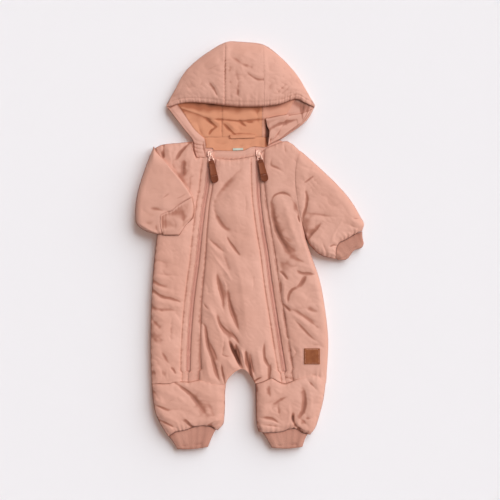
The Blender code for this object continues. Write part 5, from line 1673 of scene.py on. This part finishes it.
# %% The hood's back layer
top_arc = ARC["left"][1:-1] + ARC["centre"] + ARC["right"][1:-1]
left, right = curve(FRONT_EDGE_LEFT, 40), curve(FRONT_EDGE_RIGHT, 40)
top = curve([left[0], *top_arc, right[0]], 121)
neck = NECK + SEAM / 2
bottom = spread([left[-1], (-74, neck), (31, neck), right[-1]], 121)
grid = coons(top, bottom, left, right)
rolls = [rise(away(grid, edge), 0, 6) for edge in ("left", "right", "top")]
hollow = 0.8 * np.clip(billows(grid, 60, 121, (1.0, 0.6), 0.8) - 0.8, 0, 1)
under = 2.6 * (1 - np.minimum.reduce(rolls)) + hollow * np.minimum.reduce(rolls)
# Painted shade: dark folds of the back layer where it shows at the hood's right corner.
BACK_SHADES = [
    ([(87, 242), (87, 232), (87, 223)], 1.1, 1.6, 1.6),
    ([(93, 242), (91, 230), (89, 215)], 2.0, 2.6, 2.2),
    ([(102, 240), (97, 226), (91, 211)], 1.6, 1.6, 1.6),
    ([(67, 243), (75, 244), (87, 238), (104, 234)], 1.3, 4.0, 6.0),
    ([(24, 216), (52, 222), (86, 226)], 0.8, 2.0, 2.0),
]
hood_back = wall("hood_back_cloth", grid, np.full(under.shape, BACK_TOP), under, shell,
                 shade=shaded(grid, BACK_SHADES))
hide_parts("hood_back")
cut(hood_back, grid)

# %% The upper layer
hood_grids = {}
for number, side in enumerate(("left", "centre", "right")):
    count_cols, count_rows = cells(ARC[side]) - 1, int(112 / CELL)
    top, rim = curve(ARC[side], count_cols), curve(RIM[side], count_cols)
    sewn = [edge for edge in ("left", "right") if edge != side]
    for edge in sewn:
        place, way = (0, 1) if edge == "left" else (-1, -1)
        top[place, 0] += way * 0.06
        rim[place, 0] += way * 0.06
    grid = coons(top, rim, spread([top[0], rim[0]], count_rows), spread([top[-1], rim[-1]], count_rows))
    middle = np.clip(1 - ((grid[..., 0] + 15.5) / 128.0) ** 2, 0, 1) ** 0.7
    crown = HOOD_EDGE + (HOOD_CROWN - HOOD_EDGE) * middle
    rim_level = HOOD_EDGE + (RIM_TOP - HOOD_EDGE) * middle
    over_arc = (crown - HOOD_EDGE) * (1 - rise(away(grid, "top"), 0, 48))
    over_rim = (crown - rim_level) * (1 - rise(away(grid, "bottom"), 0, 30))
    levels = crown - (over_arc**4 + over_rim**4) ** 0.25
    fade = rise(away(grid, "top"), 0, 16)
    levels = levels + (worn(grid, 0 * levels, 0.49, 0.59, 131 + 10 * number, ("left", "right", "bottom"))
                       + 0.62 * creased(grid, 0 * levels, CREASES[f"hood_{side}"])) * fade
    for edge in sewn:
        tight = 0.35 if "right" in (side, edge) and "left" != side else 1.0
        levels = levels - 0.8 * tight * (1 - rise(away(grid, edge), 0, 7))
        levels = puckered(grid, levels, edge, 0.35 * tight, 5.0, 5.6, 134 + number)
        levels = grooved(grid, levels, edge, 0.0, 0.45 * tight, 1.6)
    levels = grooved(grid, levels, "bottom", 7.0, 0.6, 1.4)
    levels = puckered(grid, levels, "bottom", 0.5, 8.0, 6.0, 137 + number)
    levels = levels - 1.2 * (1 - rise(away(grid, "bottom"), 0, 3.0))
    wall_thick = 1.7 + (HOOD_WALL - 1.7) * rise(away(grid, "top"), 0, 12)
    wall_thick = wall_thick * (0.7 + 0.3 * rise(away(grid, "bottom"), 0, 3.5))
    # Painted shade along the listed lines, and growing towards the hood's right, where the key light
    # falls brightest.
    shade = shaded(grid, SHADES["hood"]) + 0.28 * np.clip((grid[..., 0] - 15) / 60, 0, 1)
    low = np.maximum(levels - wall_thick, LAID)
    made = wall(f"hood_{side}_cloth", grid, levels, low, shell, shade=shade)
    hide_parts(f"hood_{side}")
    cut(made, grid)
    hood_grids[side] = grid

# %% [markdown]
# ## Lining, facings and the neck
#
# Inside the hood the lining is a soft jersey in three panels. The shell turns in at the neck
# opening as facings: a strip up the hood's left edge, and on the right a flap that lies over the
# lining. A hanger loop crosses the neck seam, and a plain label peeps out under it.

# %% Lining panels
CREASES["lining"] = crease_rows("""
    pinch -0.9 2  -78,217 -64,215 -44,214 -16,211 14,214 31,215
    pinch -1.7 2.4  -74,216 -64,208 -54,200
    soft  0.9 3  -69,217 -57,210 -49,204
    pinch -1.3 2.4  -56,202 -65,195 -70,186
    soft  0.7 3  -61,201 -69,197 -74,191
    pinch -1.4 2.8  -45,208 -36,199 -24,187
    soft  0.9 4  -40,211 -28,201 -16,194
    pinch -1.2 2  -18,214 -13,207 -5,202
    pinch -0.7 1.6  -6,209 -1,209 6,208
    soft  -0.6 3  -88,206 -84,194 -76,182
    soft  0.5 5  -10,199 4,196 16,201
    soft  -0.6 2.6  22,206 24,196 25,186
    pinch -0.7 1.3  -47,215 -48,201 -48,186
    pinch -0.5 1.4  15,235 13,223 16,206
""")
SHADES["lining"] = shade_rows("""
    1.6 1.5 2.4  -75,217 -66,209 -56,200
    0.9 2 3  -56,200 -65,195 -70,186
    1.3 1.5 3  -46,209 -36,199 -23,187
    1 1.4 2  -18,214 -12,207 -5,202
    0.6 1.4 1.4  -5,210 2,210 9,209
    0.6 3 2  -78,218 -62,216 -44,215 -16,213 21,215
    0.4 5 5  -91,218 -83,199 -74,182
    4.6 4 2.4  28,216 29,196 28,165
    1.7 1.5 2.4  26,214 43,218 62,222 87,225
    1.3 1 1.4  -36,189 -16,190 9,190
    0.7 1.2 1.2  11,189 24,188 35,189
""")


def under_rim(grid, to_rim):
    """The painted shadow that the hood's rim leaves on what lies under it, deeper towards its corners.
    """
    deep = 0.9 + 0.9 * np.clip((-35 - grid[..., 0]) / 25, 0, 1)
    reach = 5.0 + 11.0 * np.clip((-35 - grid[..., 0]) / 40, 0, 1)
    return deep * np.exp(-(np.clip(to_rim, 0, None) / reach) ** 1.4)


rim_line = np.vstack([curve(RIM[side], 40)[:-1] for side in ("left", "centre", "right")])
LINING_TOP = LAID + 1.9
upper, lower = 262.0, NECK + SEAM / 2
INSIDE_LEFT = [(-124, 241), (-113.6, 226.4), (-104.4, 212.8), (-95.4, 199.2), (-85.4, 189),
               (-79.4, 184), (-76.2, 178.8), (-75.2, 163.5), (-76.2, 149.6)]
seams = [None, (-47.0, -47.0), (21.0, 21.0), (86.0, 40.0)]
for side, first, second in zip(("left", "centre", "right"), seams, seams[1:]):
    right = spread([(second[0] - SEAM / 2, upper), (second[1] - SEAM / 2, lower)], int(78 / CELL))
    if side == "left":
        left = curve(INSIDE_LEFT[:5] + [(-80, lower)], int(78 / CELL)) + [0.2, 0]
        across = [left[0], (-90, upper), right[0]]
    else:
        left = spread([(first[0] + SEAM / 2, upper), (first[1] + SEAM / 2, lower)], int(78 / CELL))
        across = [left[0], right[0]]
    count_cols = cells(across)
    grid = coons(spread(across, count_cols), spread([left[-1], right[-1]], count_cols), left, right)
    levels = np.full(grid.shape[:2], LINING_TOP) + 0.35 * billows(grid, 24, 141)
    levels = stepped(grid, levels, [(-118, 233), (-84, 222), (-71, 216), (-44, 214), (-16, 212),
                                    (11, 215), (38, 216), (86, 226)], 1.3, 2.6)
    levels = creased(grid, levels, CREASES["lining"])
    for edge in ("left", "right"):
        levels = puckered(grid, levels, edge, 0.2, 4.0, 6.0, 142)
        levels = levels - 0.3 * np.exp(-(away(grid, edge) / 1.6) ** 2)
    levels = levels - 0.5 * np.exp(-(away(grid, "bottom") / 2.0) ** 2)
    to_rim = np.interp(grid[..., 0], *rim_line.T) - grid[..., 1]
    middle = np.clip(1 - ((grid[..., 0] + 15.5) / 128.0) ** 2, 0, 1) ** 0.7
    lifted = np.clip((8.0 - to_rim) / 14.0, 0, 1) ** 2 * np.clip(12 * middle - 7.5, 0, 4.0)
    levels = np.clip(levels, LAID + 0.5, 13.0) + lifted
    shade = shaded(grid, SHADES["lining"]) + under_rim(grid, to_rim)
    finish = lining_band if side == "right" else lining
    made = wall(f"lining_{side}_cloth", grid, levels, LAID, finish, 0.5, shade)
    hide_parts(f"lining_{side}")
    cut(made, grid)

# %% The lining inside the neck
count_cols = 71
upper = spread([(-79.7, NECK - SEAM / 2), (30.5, NECK - SEAM / 2)], count_cols)
low = spread([(-74.8, 165.6), (-62.6, 165.6), (-61.5, 161.8), (-47, 161.0), (-28.4, 160.5),
              (-15, 160.6), (-7, 162.4), (0.5, 166.6), (8.9, 168.1), (18.0, 167.4), (24, 166.6),
              (30.5, 168.0)], count_cols)
grid = coons(upper, low, curve([upper[0], (-75.9, 178.8), low[0]], 20), spread([upper[-1], low[-1]], 20))
levels = LAID + 1.5 + 0.25 * billows(grid, 22, 151)
levels = levels - 0.5 * np.exp(-(away(grid, "top") / 1.6) ** 2)
levels = creased(grid, levels, [
    pinch([(-61, 177), (-50, 173), (-35, 174)], -0.5, 2.2),
    pinch([(-74, 181), (-73, 174), (-75, 167)], -0.7, 1.6),
    pinch([(-23, 169), (-6, 170), (11, 175)], -0.5, 2.0),
])
shade = shaded(grid, SHADES["lining"] + [([(-75, 184), (-76, 177), (-74, 167)], 1.0, 1.6, 1.6)])
neck_back = wall("neck_back_cloth", grid, np.clip(levels, LAID + 0.6, 9.4), LAID, lining, 0.5,
                 shade)
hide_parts("neck_back")
cut(neck_back, grid)

# %% Facings
left = curve([(-139.5, 232.5), (-115, 201), (-97.3, 178), (-94.9, 161), (-90.8, 149.6)], 80)
right = curve(INSIDE_LEFT, 80) - [0.2, 0]
grid = coons(spread([left[0], right[0]], 17), spread([left[-1], right[-1]], 17), left, right)
edges = {"left": (9.0, 0, 8), "right": (9.6, 0, 12), "bottom": (10.2, 0, 8), "top": (9.0, 0, 8)}
levels = crowned(grid, 11.2, edges)
levels = worn(grid, levels, 0.21, 0.23, 161)
levels = creased(grid, levels, [
    pinch([(-105, 215), (-100, 210), (-95, 206)], -0.7, 1.6),
    pinch([(-96, 174), (-90, 171), (-79, 170)], -0.9, 1.6),
    pinch([(-95, 168), (-87, 164), (-79, 163)], -0.9, 1.5),
    pinch([(-93, 161), (-86, 157), (-78, 156)], -0.8, 1.5),
    soft([(-95, 181), (-86, 176), (-76, 175)], -0.6, 1.8),
    pinch([(-79, 174), (-78, 164), (-73, 152)], -1.4, 1.6),
    soft([(-113, 211), (-101, 196), (-86, 177)], 0.4, 4.0),
])
levels = grooved(grid, levels, "left", 4.5, 0.4, 1.0)
SHADES["facing_left"] = shade_rows("""
    1.1 1.5 1.8  -98,175 -90,172 -79,170
    0.9 1.5 1.8  -96,168 -88,165 -78,163
    0.7 1.5 1.5  -93,161 -86,158 -78,156
    0.7 1.6 1.8  -96,181 -88,178 -78,176
    0.6 1.4 1.4  -110,223 -105,216 -101,209
    0.35 6 3  -113,230 -101,211 -90,192
    1.1 1.6 1.6  -78,179 -78,164 -74,150
    1.5 3 2.6  -103,186 -99,179 -96,165 -88,150
""")
to_rim = np.interp(grid[..., 0], *rim_line.T) - grid[..., 1]
shade = shaded(grid, SHADES["facing_left"]) + 0.8 * under_rim(grid, to_rim)
facing_left = wall("facing_left_cloth", grid, levels, LAID, shell, shade=shade)
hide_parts("facing_left")
cut(facing_left, grid)
facing_left_grid = grid

left = curve([(27.7, 214.5), (29.6, 203), (33.4, 193.5), (32.6, 182), (31.3, 169.5)], 34)
right = curve([(109, 232.8), (102, 219), (91.5, 207.5), (53.5, 180.5)], 34)
grid = coons(curve([(27.7, 214.5), (45, 219.5), (86, 224), (109, 232.8)], 58),
             curve([(31.3, 169.5), (42, 175.5), (53.5, 180.5)], 58), left, right)
under = resting(grid, ["lining_right_cloth", "lining_centre_cloth", "hood_back_cloth", "back_panel",
                       "neck_back_cloth"], 3.5, 0.5, LAID)
under = under + 1.6 * (1 - rise(away(grid, "left"), 0, 14))
edges = {"left": (3.2, 0, 6), "right": (2.4, 0, 10), "bottom": (2.4, 0, 8), "top": (3.0, 0, 6)}
thick = crowned(grid, 4.6, edges)
thick = worn(grid, thick, 0.21, 0.18, 171, fade=12)
thick = creased(grid, thick, [
    pinch([(29, 193), (43, 203), (62, 209), (82, 214)], -1.3, 1.8),
    soft([(35, 206), (52, 212), (74, 218)], 0.9, 3.4),
    pinch([(41, 196), (48, 190), (53, 181)], -0.5, 2.6),
    soft([(45, 198), (62, 198), (75, 204)], 0.6, 3.0),
])
thick = grooved(grid, thick, "right", 5.0, 0.8, 1.1)
thick = np.maximum(thick, 1.0)
SHADES["facing_right"] = shade_rows("""
    0.9 1.8 3  30,191 38,198 52,205 69,211 82,215
    0.8 8 8  29,206 43,214 63,219
    1.2 1.6 1.6  28,214 43,218 62,222 86,224
    0.9 4 2  31,211 32,196 30,169
    0.35 2 2  62,215 62,208 63,199
    0.8 1.6 1.6  79,216 81,211 82,204
    2 2.2 2  88,238 89,225 90,211
    1.5 1.6 1.6  103,237 97,223 91,211
    1.2 1.6 1.6  91,211 79,201 65,191 52,180 46,171
    1.8 3 5  72,244 82,239 96,238
    0.4 2.4 2.4  40,186 45,181 50,177
""")
# Painted shade: two dark lines along the hem's ditches, 5.2 and 9.6 mm in from the edge, and the listed
# lines.
hem = away(grid, "right")
shade = shaded(grid, SHADES["facing_right"]) + 1.2 * np.exp(-(((hem - 5.2) / 1.3) ** 2))
shade = shade + 0.5 * np.exp(-(((hem - 9.6) / 1.0) ** 2))
facing_right = wall("facing_right_cloth", grid, under + thick, under, shell, shade=shade)
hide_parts("facing_right")
cut(facing_right, grid)
facing_right_grid = grid

# %% Hanger loop and label
middle = curve([(-34.8, 184.0), (-23.3, 184.4), (-8, 184.9), (9.4, 185.4)], 40)
slope = np.gradient(middle, axis=0)
normal = np.stack([-slope[:, 1], slope[:, 0]], axis=1)
normal /= np.linalg.norm(normal, axis=1)[:, None]
grid = np.stack([middle + w * normal for w in (3.0, 2.2, 1.2, 0.0, -1.2, -2.2, -3.0)])
base = resting(grid, ["lining_left_cloth", "lining_centre_cloth", "neck_back_cloth"], 3.0)
base = np.ones((7, 1)) * base.max(axis=0)[None, :]
lift = 0.8 * np.sin(np.linspace(0, np.pi, 40))[None, :]
tape_high = np.array([0.8, 1.25, 1.0, 0.95, 1.0, 1.1, 0.7])[:, None]
# Painted shade along the loop's upper edge, along its lower edge, and across its left end.
shade = np.array([1.5, 0.5, 0, 0, 0, 0, 0.4])[:, None] + shaded(grid, [
    ([(-36, 189), (-34, 184), (-31, 180)], 1.6, 1.2, 1.6), ([(-28, 180), (-16, 181), (-6, 181)],
                                                            0.4, 1, 1)])
loop = wall("hanger_loop_tape", grid, base + lift + tape_high, base + lift, lining, 0.6, shade)
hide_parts("hanger_loop")
cut(loop, grid)
corners = [np.array(p, float) for p in ((-28.6, 164.8), (-11.2, 165.2), (-11.2, 161.6), (-28.6, 160.8))]
grid = coons(spread(corners[:2], 14), spread([corners[3], corners[2]], 14),
             spread([corners[0], corners[3]], 6), spread([corners[1], corners[2]], 6))
under = resting(grid, ["neck_back_cloth"], 1.0)
tag = wall("neck_label_satin", grid, under + 0.8, under, label, 0.5)
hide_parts("neck_label")
cut(tag, grid)

# %% [markdown]
# ## Stitches
#
# Topstitching is what makes the strips beside the zips, the rim and the facings read as sewn. A
# stitch is a small spindle of thread, pointed where it dips into the cloth. One is modelled and
# set down along each line, and a ray finds the cloth's level under it. A groove is already in
# the cloth below many of the rows, because stitches pull it in.

# %% Rows of stitches
def trees_of(names):
    """What a ray can hit: the meshes of these pieces."""
    return [BVHTree.FromPolygons([v.co for v in PIECES[n].data.vertices],
                                 [f.vertices[:] for f in PIECES[n].data.polygons]) for n in names]


def level_at(trees, x, y):
    """The highest point of the pieces at a place, in millimetres, or None beside them."""
    hits = [tree.ray_cast(Vector((x, y, 100)) * MM, Vector((0, 0, -1)))[0] for tree in trees]
    hits = [hit.z / MM for hit in hits if hit is not None]
    return max(hits) if hits else None


def stitched(name, rows, on, pitch=3.0, long=2.2, wide=0.42, high=0.34, body="suit"):
    """Spindles of thread along each row, on the pieces named."""
    trees = trees_of(on)
    points, faces = [], []
    for row in rows:
        total = lengths(row)[-1]
        for start in np.arange(0.4, total - long, pitch):
            (ax, ay), (bx, by) = (spread(row, [(start + d) / total])[0] for d in (0, long))
            az, bz = level_at(trees, ax, ay), level_at(trees, bx, by)
            if az is None or bz is None or abs(az - bz) > 2.0:
                continue
            a, b = np.array([ax, ay, az - 0.12]), np.array([bx, by, bz - 0.12])
            side = np.array([ay - by, bx - ax, 0.0])
            side *= wide / np.linalg.norm(side)
            up = np.array([0, 0, high])
            first = len(points)
            third, two = a + (b - a) * 0.3, a + (b - a) * 0.7
            points += [a, third + side, third + up, third - side, third - up,
                       two + side, two + up, two - side, two - up, b]
            for k in range(4):
                n = (k + 1) % 4
                faces.append((first, first + 1 + n, first + 1 + k))
                faces.append((first + 1 + k, first + 1 + n, first + 5 + n, first + 5 + k))
                faces.append((first + 9, first + 5 + k, first + 5 + n))
    made = faced(name, points, faces, thread, body, 30)
    print(f"{name:22s} {len(faces) // 12} stitches")
    return made


def inward(row, apart):
    """A row moved that far to its right, seen along it."""
    return sewn_to(row, len(row), apart)


left_edge, mid_left = front_left_grid[4:-3, -1], front_centre_grid[6:-3, 0]
mid_right, right_edge = front_centre_grid[6:-3, -1], front_right_grid[8:-3, 0]
strip_edge = mid_left + np.stack([middle_strip(mid_left[:, 1]), 0 * mid_left[:, 1]], axis=1)
stitched("stitches_left", [left_edge - [LEFT_STRIP, 0], left_edge - [2.2, 0]], ["front_left_cloth"])
stitched("stitches_middle", [strip_edge, mid_left + [1.7, 0], mid_right - [STRIP_RIGHT, 0],
                             mid_right - [1.7, 0]], ["front_centre_cloth"])
stitched("stitches_right", [right_edge + [RIGHT_STRIP, 0], right_edge + [2.2, 0],
                            right_edge + [RIGHT_STRIP - 2.6, 0]], ["front_right_cloth"])
stitched("stitches_knees", [inward(leg_ends["left"][0][2:-2], 2.0),
                            inward(leg_ends["right"][0][2:-2], 2.0)],
         ["leg_left_cloth", "leg_right_cloth"], 2.8, 2.0)
for side, centre in zips.items():
    x = np.interp(ZIP_END, centre[::-1, 1], centre[::-1, 0])
    bars = [np.array([(x - 6.4, ZIP_END - d), (x + 6.4, ZIP_END - d)]) for d in (0.2, 1.1, 2.0, 2.9)]
    bars += [np.array([(x - 13, ZIP_END - d), (x + 11, ZIP_END - d)]) for d in (6.5, 8.5)]
    near = ["front_left_cloth", "front_centre_cloth", "front_right_cloth", f"zip_{side}_tape"]
    stitched(f"stitches_{side}_zip_end", bars, near, 2.5, 2.3, 0.5, 0.6)
rims = [hood_grids[side][-1] for side in ("left", "centre", "right")]
stitched("stitches_rim", [rim + [0, 7.0] for rim in rims], [f"hood_{s}_cloth" for s in hood_grids],
         2.8, 2.0)
stitched("stitches_crown", [hood_grids["left"][12:, -1] - [1.9, 0]], ["hood_left_cloth"], 2.6, 1.9)
stitched("stitches_neck", [binding_grid[1], binding_grid[-3]], ["neck_binding_cloth"], 2.6, 1.9)
stitched("stitches_facings", [inward(facing_left_grid[3:-3, 0], -4.5),
                              inward(facing_right_grid[1:-1, -1], 5.2),
                              inward(facing_right_grid[1:-1, -1], 1.9)],
         ["facing_left_cloth", "facing_right_cloth"], 2.8, 2.0)

# %% [markdown]
# ## Coil teeth
#
# The tooth is a cube stretched across the coil, with its top narrowed and raised and its two
# ends extruded a little lower. It is then set down every 1.45 mm along each zip, below the slider.

# %% Edit mode helpers
def fresh(kind, **settings):
    """A new primitive with nothing else selected."""
    bpy.ops.object.select_all(action="DESELECT")
    getattr(bpy.ops.mesh, f"primitive_{kind}_add")(**settings)
    return bpy.context.active_object


def pick(made, kind, test):
    """In edit mode, selects the vertices, edges or faces that pass a test, and nothing else."""
    if made.mode != "EDIT":
        bpy.ops.object.mode_set(mode="EDIT")
    bpy.ops.mesh.select_mode(type=kind)
    bpy.ops.mesh.select_all(action="DESELECT")
    live = bmesh.from_edit_mesh(made.data)
    chosen = 0
    for item in {"VERT": live.verts, "EDGE": live.edges, "FACE": live.faces}[kind]:
        if test(item):
            item.select_set(True)
            chosen += 1
    live.select_flush(True)
    bmesh.update_edit_mesh(made.data)
    return chosen


def placed(made, spot=(0, 0, 0), turn=(0, 0, 0)):
    """Leaves edit mode and works the object's place into its mesh."""
    if made.mode == "EDIT":
        bpy.ops.object.mode_set(mode="OBJECT")
    bpy.ops.object.select_all(action="DESELECT")
    made.select_set(True)
    bpy.context.view_layer.objects.active = made
    made.rotation_euler = [math.radians(a) for a in turn]
    made.location = Vector(spot) * MM
    bpy.ops.object.transform_apply(location=True, rotation=True, scale=True)
    return made


def rounded(made, width, segments=2, angle=32, smooth=40):
    """Bevels the sharp edges for good and shades the rest smooth."""
    bpy.context.view_layer.objects.active = made
    edge = made.modifiers.new("edge", "BEVEL")
    edge.width, edge.segments, edge.limit_method = width * MM, segments, "ANGLE"
    edge.angle_limit = math.radians(angle)
    bpy.ops.object.modifier_apply(modifier="edge")
    bpy.ops.object.select_all(action="DESELECT")
    made.select_set(True)
    bpy.ops.object.shade_smooth_by_angle(angle=math.radians(smooth))
    return made


def sewn_on(made, name, finish, slot, body, *nodes):
    """Names a finished piece, gives it its finish and body, and hides the CAD nodes that it replaces."""
    made.name = made.data.name = name
    finish.on(made)
    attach(made, body)
    if nodes:
        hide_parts(*nodes)
    PIECES[name] = made
    print(f"{name:22s} {len(made.data.polygons)} faces")
    return made


# %% One tooth, then all of them
tooth = fresh("cube", size=MM)
bpy.ops.transform.resize(value=(2.9, 0.85, 1.0))
placed(tooth)
pick(tooth, "FACE", lambda f: f.normal.z > 0.9)
bpy.ops.mesh.inset(thickness=0.16 * MM)
bpy.ops.transform.translate(value=(0, 0, 0.22 * MM))
pick(tooth, "FACE", lambda f: abs(f.normal.x) > 0.9)
bpy.ops.mesh.extrude_region_move(TRANSFORM_OT_translate={"value": (0, 0, -0.15 * MM)})
placed(tooth)
tooth_points = np.array([v.co for v in tooth.data.vertices]) / MM
tooth_faces = [tuple(f.vertices) for f in tooth.data.polygons]
bpy.data.objects.remove(tooth)
for side, centre in zips.items():
    along = lengths(centre)
    starts = np.arange(along[-1] - 1.5, along[np.argmax(centre[:, 1] < 149.0)], -1.45)
    points, faces = [], []
    for start in starts:
        x, y = spread(centre, [start / along[-1]])[0]
        ahead = spread(centre, [min(1.0, (start + 2) / along[-1])])[0] - [x, y]
        c, s = -ahead[1], ahead[0]
        c, s = c / math.hypot(c, s), s / math.hypot(c, s)
        turn = np.array([[c, -s, 0], [s, c, 0], [0, 0, 1]])
        first = len(points)
        points += list(tooth_points @ turn.T + [x, y, 9.55])
        faces += [tuple(first + v for v in face) for face in tooth_faces]
    coil = faced(f"zip_{side}_coil", points, faces, tape, "suit", 50)
    print(coil.name, len(starts), "teeth,", len(tooth_faces), "faces each")

# %% [markdown]
# ## Sliders and pulls
#
# A slider is a shield of lacquered metal: wider where the tapes part, narrower behind, with a
# small bridge on top. The pull hangs on the bridge: a teardrop ring with a leather tab. It was
# modelled lying along its own axis first and then turned to where it rests, because edit mode
# works more simply along straight axes.

# %% Sliders
PULLS = {"left": (-66.8, 152.5, 10.4, 4.0), "right": (15.4, 153.8, 13.6, 4.5)}
AXIS_Z = 15.2
for side, (x, y, turn, lift) in PULLS.items():
    plate = fresh("cube", size=MM)
    bpy.ops.transform.resize(value=(8.6, 13.0, 2.3))
    placed(plate, (0, 1.0, 12.1))
    bpy.ops.object.mode_set(mode="EDIT")
    for level in (-3.6, -1.0, 3.0, 5.6):
        bpy.ops.mesh.select_all(action="SELECT")
        bpy.ops.mesh.bisect(plane_co=(0, level * MM, 0), plane_no=(0, 1, 0))
    for low, high, scale in ((-6.0, -5.0, 0.66), (-4.0, -3.2, 0.80), (2.6, 3.4, 1.0), (7.2, 8.0, 0.80)):
        pick(plate, "VERT", lambda v: low * MM < v.co.y < high * MM)
        bpy.ops.transform.resize(value=(scale, 1, 1), center_override=(0, 0, 0))
    pick(plate, "FACE", lambda f: f.normal.z > 0.9)
    bpy.ops.mesh.inset(thickness=0.9 * MM)
    bpy.ops.transform.translate(value=(0, 0, -0.45 * MM))
    placed(plate)
    rounded(plate, 0.32)
    bridge = fresh("cube", size=MM)
    bpy.ops.transform.resize(value=(1.9, 6.4, 1.2))
    placed(bridge, (0, 0.9, 17.1))
    pick(bridge, "FACE", lambda f: f.normal.y > 0.9)
    bpy.ops.mesh.extrude_region_move(TRANSFORM_OT_translate={"value": (0, 1.3 * MM, -1.3 * MM)})
    bpy.ops.mesh.extrude_region_move(TRANSFORM_OT_translate={"value": (0, 0.1 * MM, -3.6 * MM)})
    pick(bridge, "FACE", lambda f: f.normal.y < -0.9)
    bpy.ops.mesh.extrude_region_move(TRANSFORM_OT_translate={"value": (0, -0.7 * MM, -0.9 * MM)})
    placed(bridge)
    rounded(bridge, 0.35)
    bpy.ops.object.select_all(action="DESELECT")
    plate.select_set(True)
    bridge.select_set(True)
    bpy.context.view_layer.objects.active = plate
    bpy.ops.object.join()
    placed(plate, (x, y, 0))
    sewn_on(plate, f"slider_{side}_metal", metal, "metal", "suit", f"slider_{side}")

# %% Pull rings
for side, (x, y, turn, lift) in PULLS.items():
    ring = fresh("torus", major_segments=40, minor_segments=12, major_radius=3.7 * MM,
                 minor_radius=0.95 * MM)
    pick(ring, "VERT", lambda v: v.co.y > 0.6 * MM)
    bpy.ops.transform.translate(value=(0, 3.4 * MM, 0))
    bpy.ops.transform.resize(value=(0.76, 1, 1), center_override=(0, 0, 0))
    pick(ring, "VERT", lambda v: v.co.y < -2.0 * MM)
    bpy.ops.transform.resize(value=(1.2, 0.8, 1), center_override=(0, -2.0 * MM, 0))
    placed(ring, (0, -7.1, 0))
    placed(ring, (x, y, AXIS_Z), (-lift, 0, turn))
    bpy.ops.object.shade_smooth()
    sewn_on(ring, f"pull_{side}_ring", metal, "metal", f"pull_{side}", f"pull_{side}")

# %% [markdown]
# The tab is a strip of hide folded through the ring and stitched, wider at its round end. It
# starts as a cube that planes cut across, so that each cut can be drawn to its own width. The
# upper face is inset and pressed down, which leaves the raised border.

# %% Leather tabs
TAB_WIDTHS = [(9.2, 3.6), (10.0, 4.3), (13.5, 4.7), (17.0, 4.9), (24.0, 5.3), (31.0, 5.8),
              (34.0, 6.0), (38.0, 6.3), (41.5, 6.3), (43.6, 6.0), (45.2, 5.2), (46.4, 4.0), (47.2, 2.4),
              (47.6, 1.2)]
for side, (x, y, turn, lift) in PULLS.items():
    tab = fresh("cube", size=MM)
    bpy.ops.transform.resize(value=(2.0, 38.4, 2.5))
    placed(tab, (0, -28.4, 0))
    bpy.ops.object.mode_set(mode="EDIT")
    for along, _ in TAB_WIDTHS[1:-1]:
        bpy.ops.mesh.select_all(action="SELECT")
        bpy.ops.mesh.bisect(plane_co=(0, -along * MM, 0), plane_no=(0, 1, 0))
    for along, half in TAB_WIDTHS:
        pick(tab, "VERT", lambda v: abs(v.co.y + along * MM) < 0.1 * MM)
        bpy.ops.transform.resize(value=(half, 1, 1), center_override=(0, 0, 0))
    pick(tab, "FACE", lambda f: f.normal.z > 0.9 and -33.9 * MM < f.calc_center_median().y < -13.6 * MM)
    bpy.ops.mesh.inset(thickness=1.3 * MM, depth=0)
    bpy.ops.transform.translate(value=(0, 0, -0.42 * MM))
    pick(tab, "FACE", lambda f: f.normal.z > 0.9 and f.calc_center_median().y < -38.1 * MM)
    bpy.ops.mesh.inset(thickness=0.9 * MM, depth=0)
    bpy.ops.transform.translate(value=(0, 0, -0.16 * MM))
    placed(tab, (0, 0, 0))
    rounded(tab, 0.38, 2, 25, 35)
    pressed = [float(v.co.z > 0.5 * MM and -34.5 * MM < v.co.y < -13 * MM
                     and v.co.z < 1.1 * MM) for v in tab.data.vertices]
    tab.data.attributes.new("worn", "FLOAT", "POINT").data.foreach_set("value", pressed)
    placed(tab, (x, y, AXIS_Z), (-lift, 0, turn))
    sewn_on(tab, f"tab_{side}_leather", tab_leather, "leather", f"pull_{side}", f"tab_{side}")
    c, s = math.cos(math.radians(turn)), math.sin(math.radians(turn))
    row = [(x + u * c + 36.0 * s, y + u * s - 36.0 * c) for u in (-4.6, 4.6)]
    stitched(f"stitches_tab_{side}", [row], [f"tab_{side}_leather"],
             2.3, 1.7, 0.35, 0.25, f"pull_{side}")

# %% Leather patch
PATCH_X, PATCH_Y = 105.6, -188.2        # its middle, on the right leg above the knee seam
trees = trees_of(["front_right_cloth"])
patch_base = max(level_at(trees, px, py) for px in np.linspace(93, 118, 6)
                 for py in np.linspace(-176, -201, 6)) + 0.2
patch = fresh("cube", size=MM)
bpy.ops.transform.resize(value=(26.6, 26.8, 1.6))
placed(patch, (PATCH_X, PATCH_Y, 0.8))
pick(patch, "FACE", lambda f: f.normal.z > 0.9)
bpy.ops.mesh.inset(thickness=1.5 * MM)
bpy.ops.transform.translate(value=(0, 0, -0.25 * MM))
bpy.ops.mesh.inset(thickness=0.6 * MM)
bpy.ops.transform.translate(value=(0, 0, 0.2 * MM))
placed(patch)
rounded(patch, 0.3)
bpy.ops.object.mode_set(mode="EDIT")
for share in np.linspace(-11, 11, 9):
    for spot, way in (((PATCH_X + share, 0, 0), (1, 0, 0)), ((0, PATCH_Y + share, 0), (0, 1, 0))):
        bpy.ops.mesh.select_all(action="SELECT")
        bpy.ops.mesh.bisect(plane_co=Vector(spot) * MM, plane_no=way)
placed(patch)
for vert in patch.data.vertices:
    near = level_at(trees, vert.co.x / MM, vert.co.y / MM)
    vert.co.z += (0.75 * patch_base + 0.25 * near) * MM
sewn_on(patch, "patch_leather_square", patch_leather, "patch_leather", "suit", "patch")
corners = [(94.2, -176.8), (117.0, -176.8), (117.0, -199.6), (94.2, -199.6)]
border = [np.array(ends, float) for ends in zip(corners, corners[1:] + corners[:1])]
stitched("stitches_patch", border, ["patch_leather_square"], 2.4, 1.7)
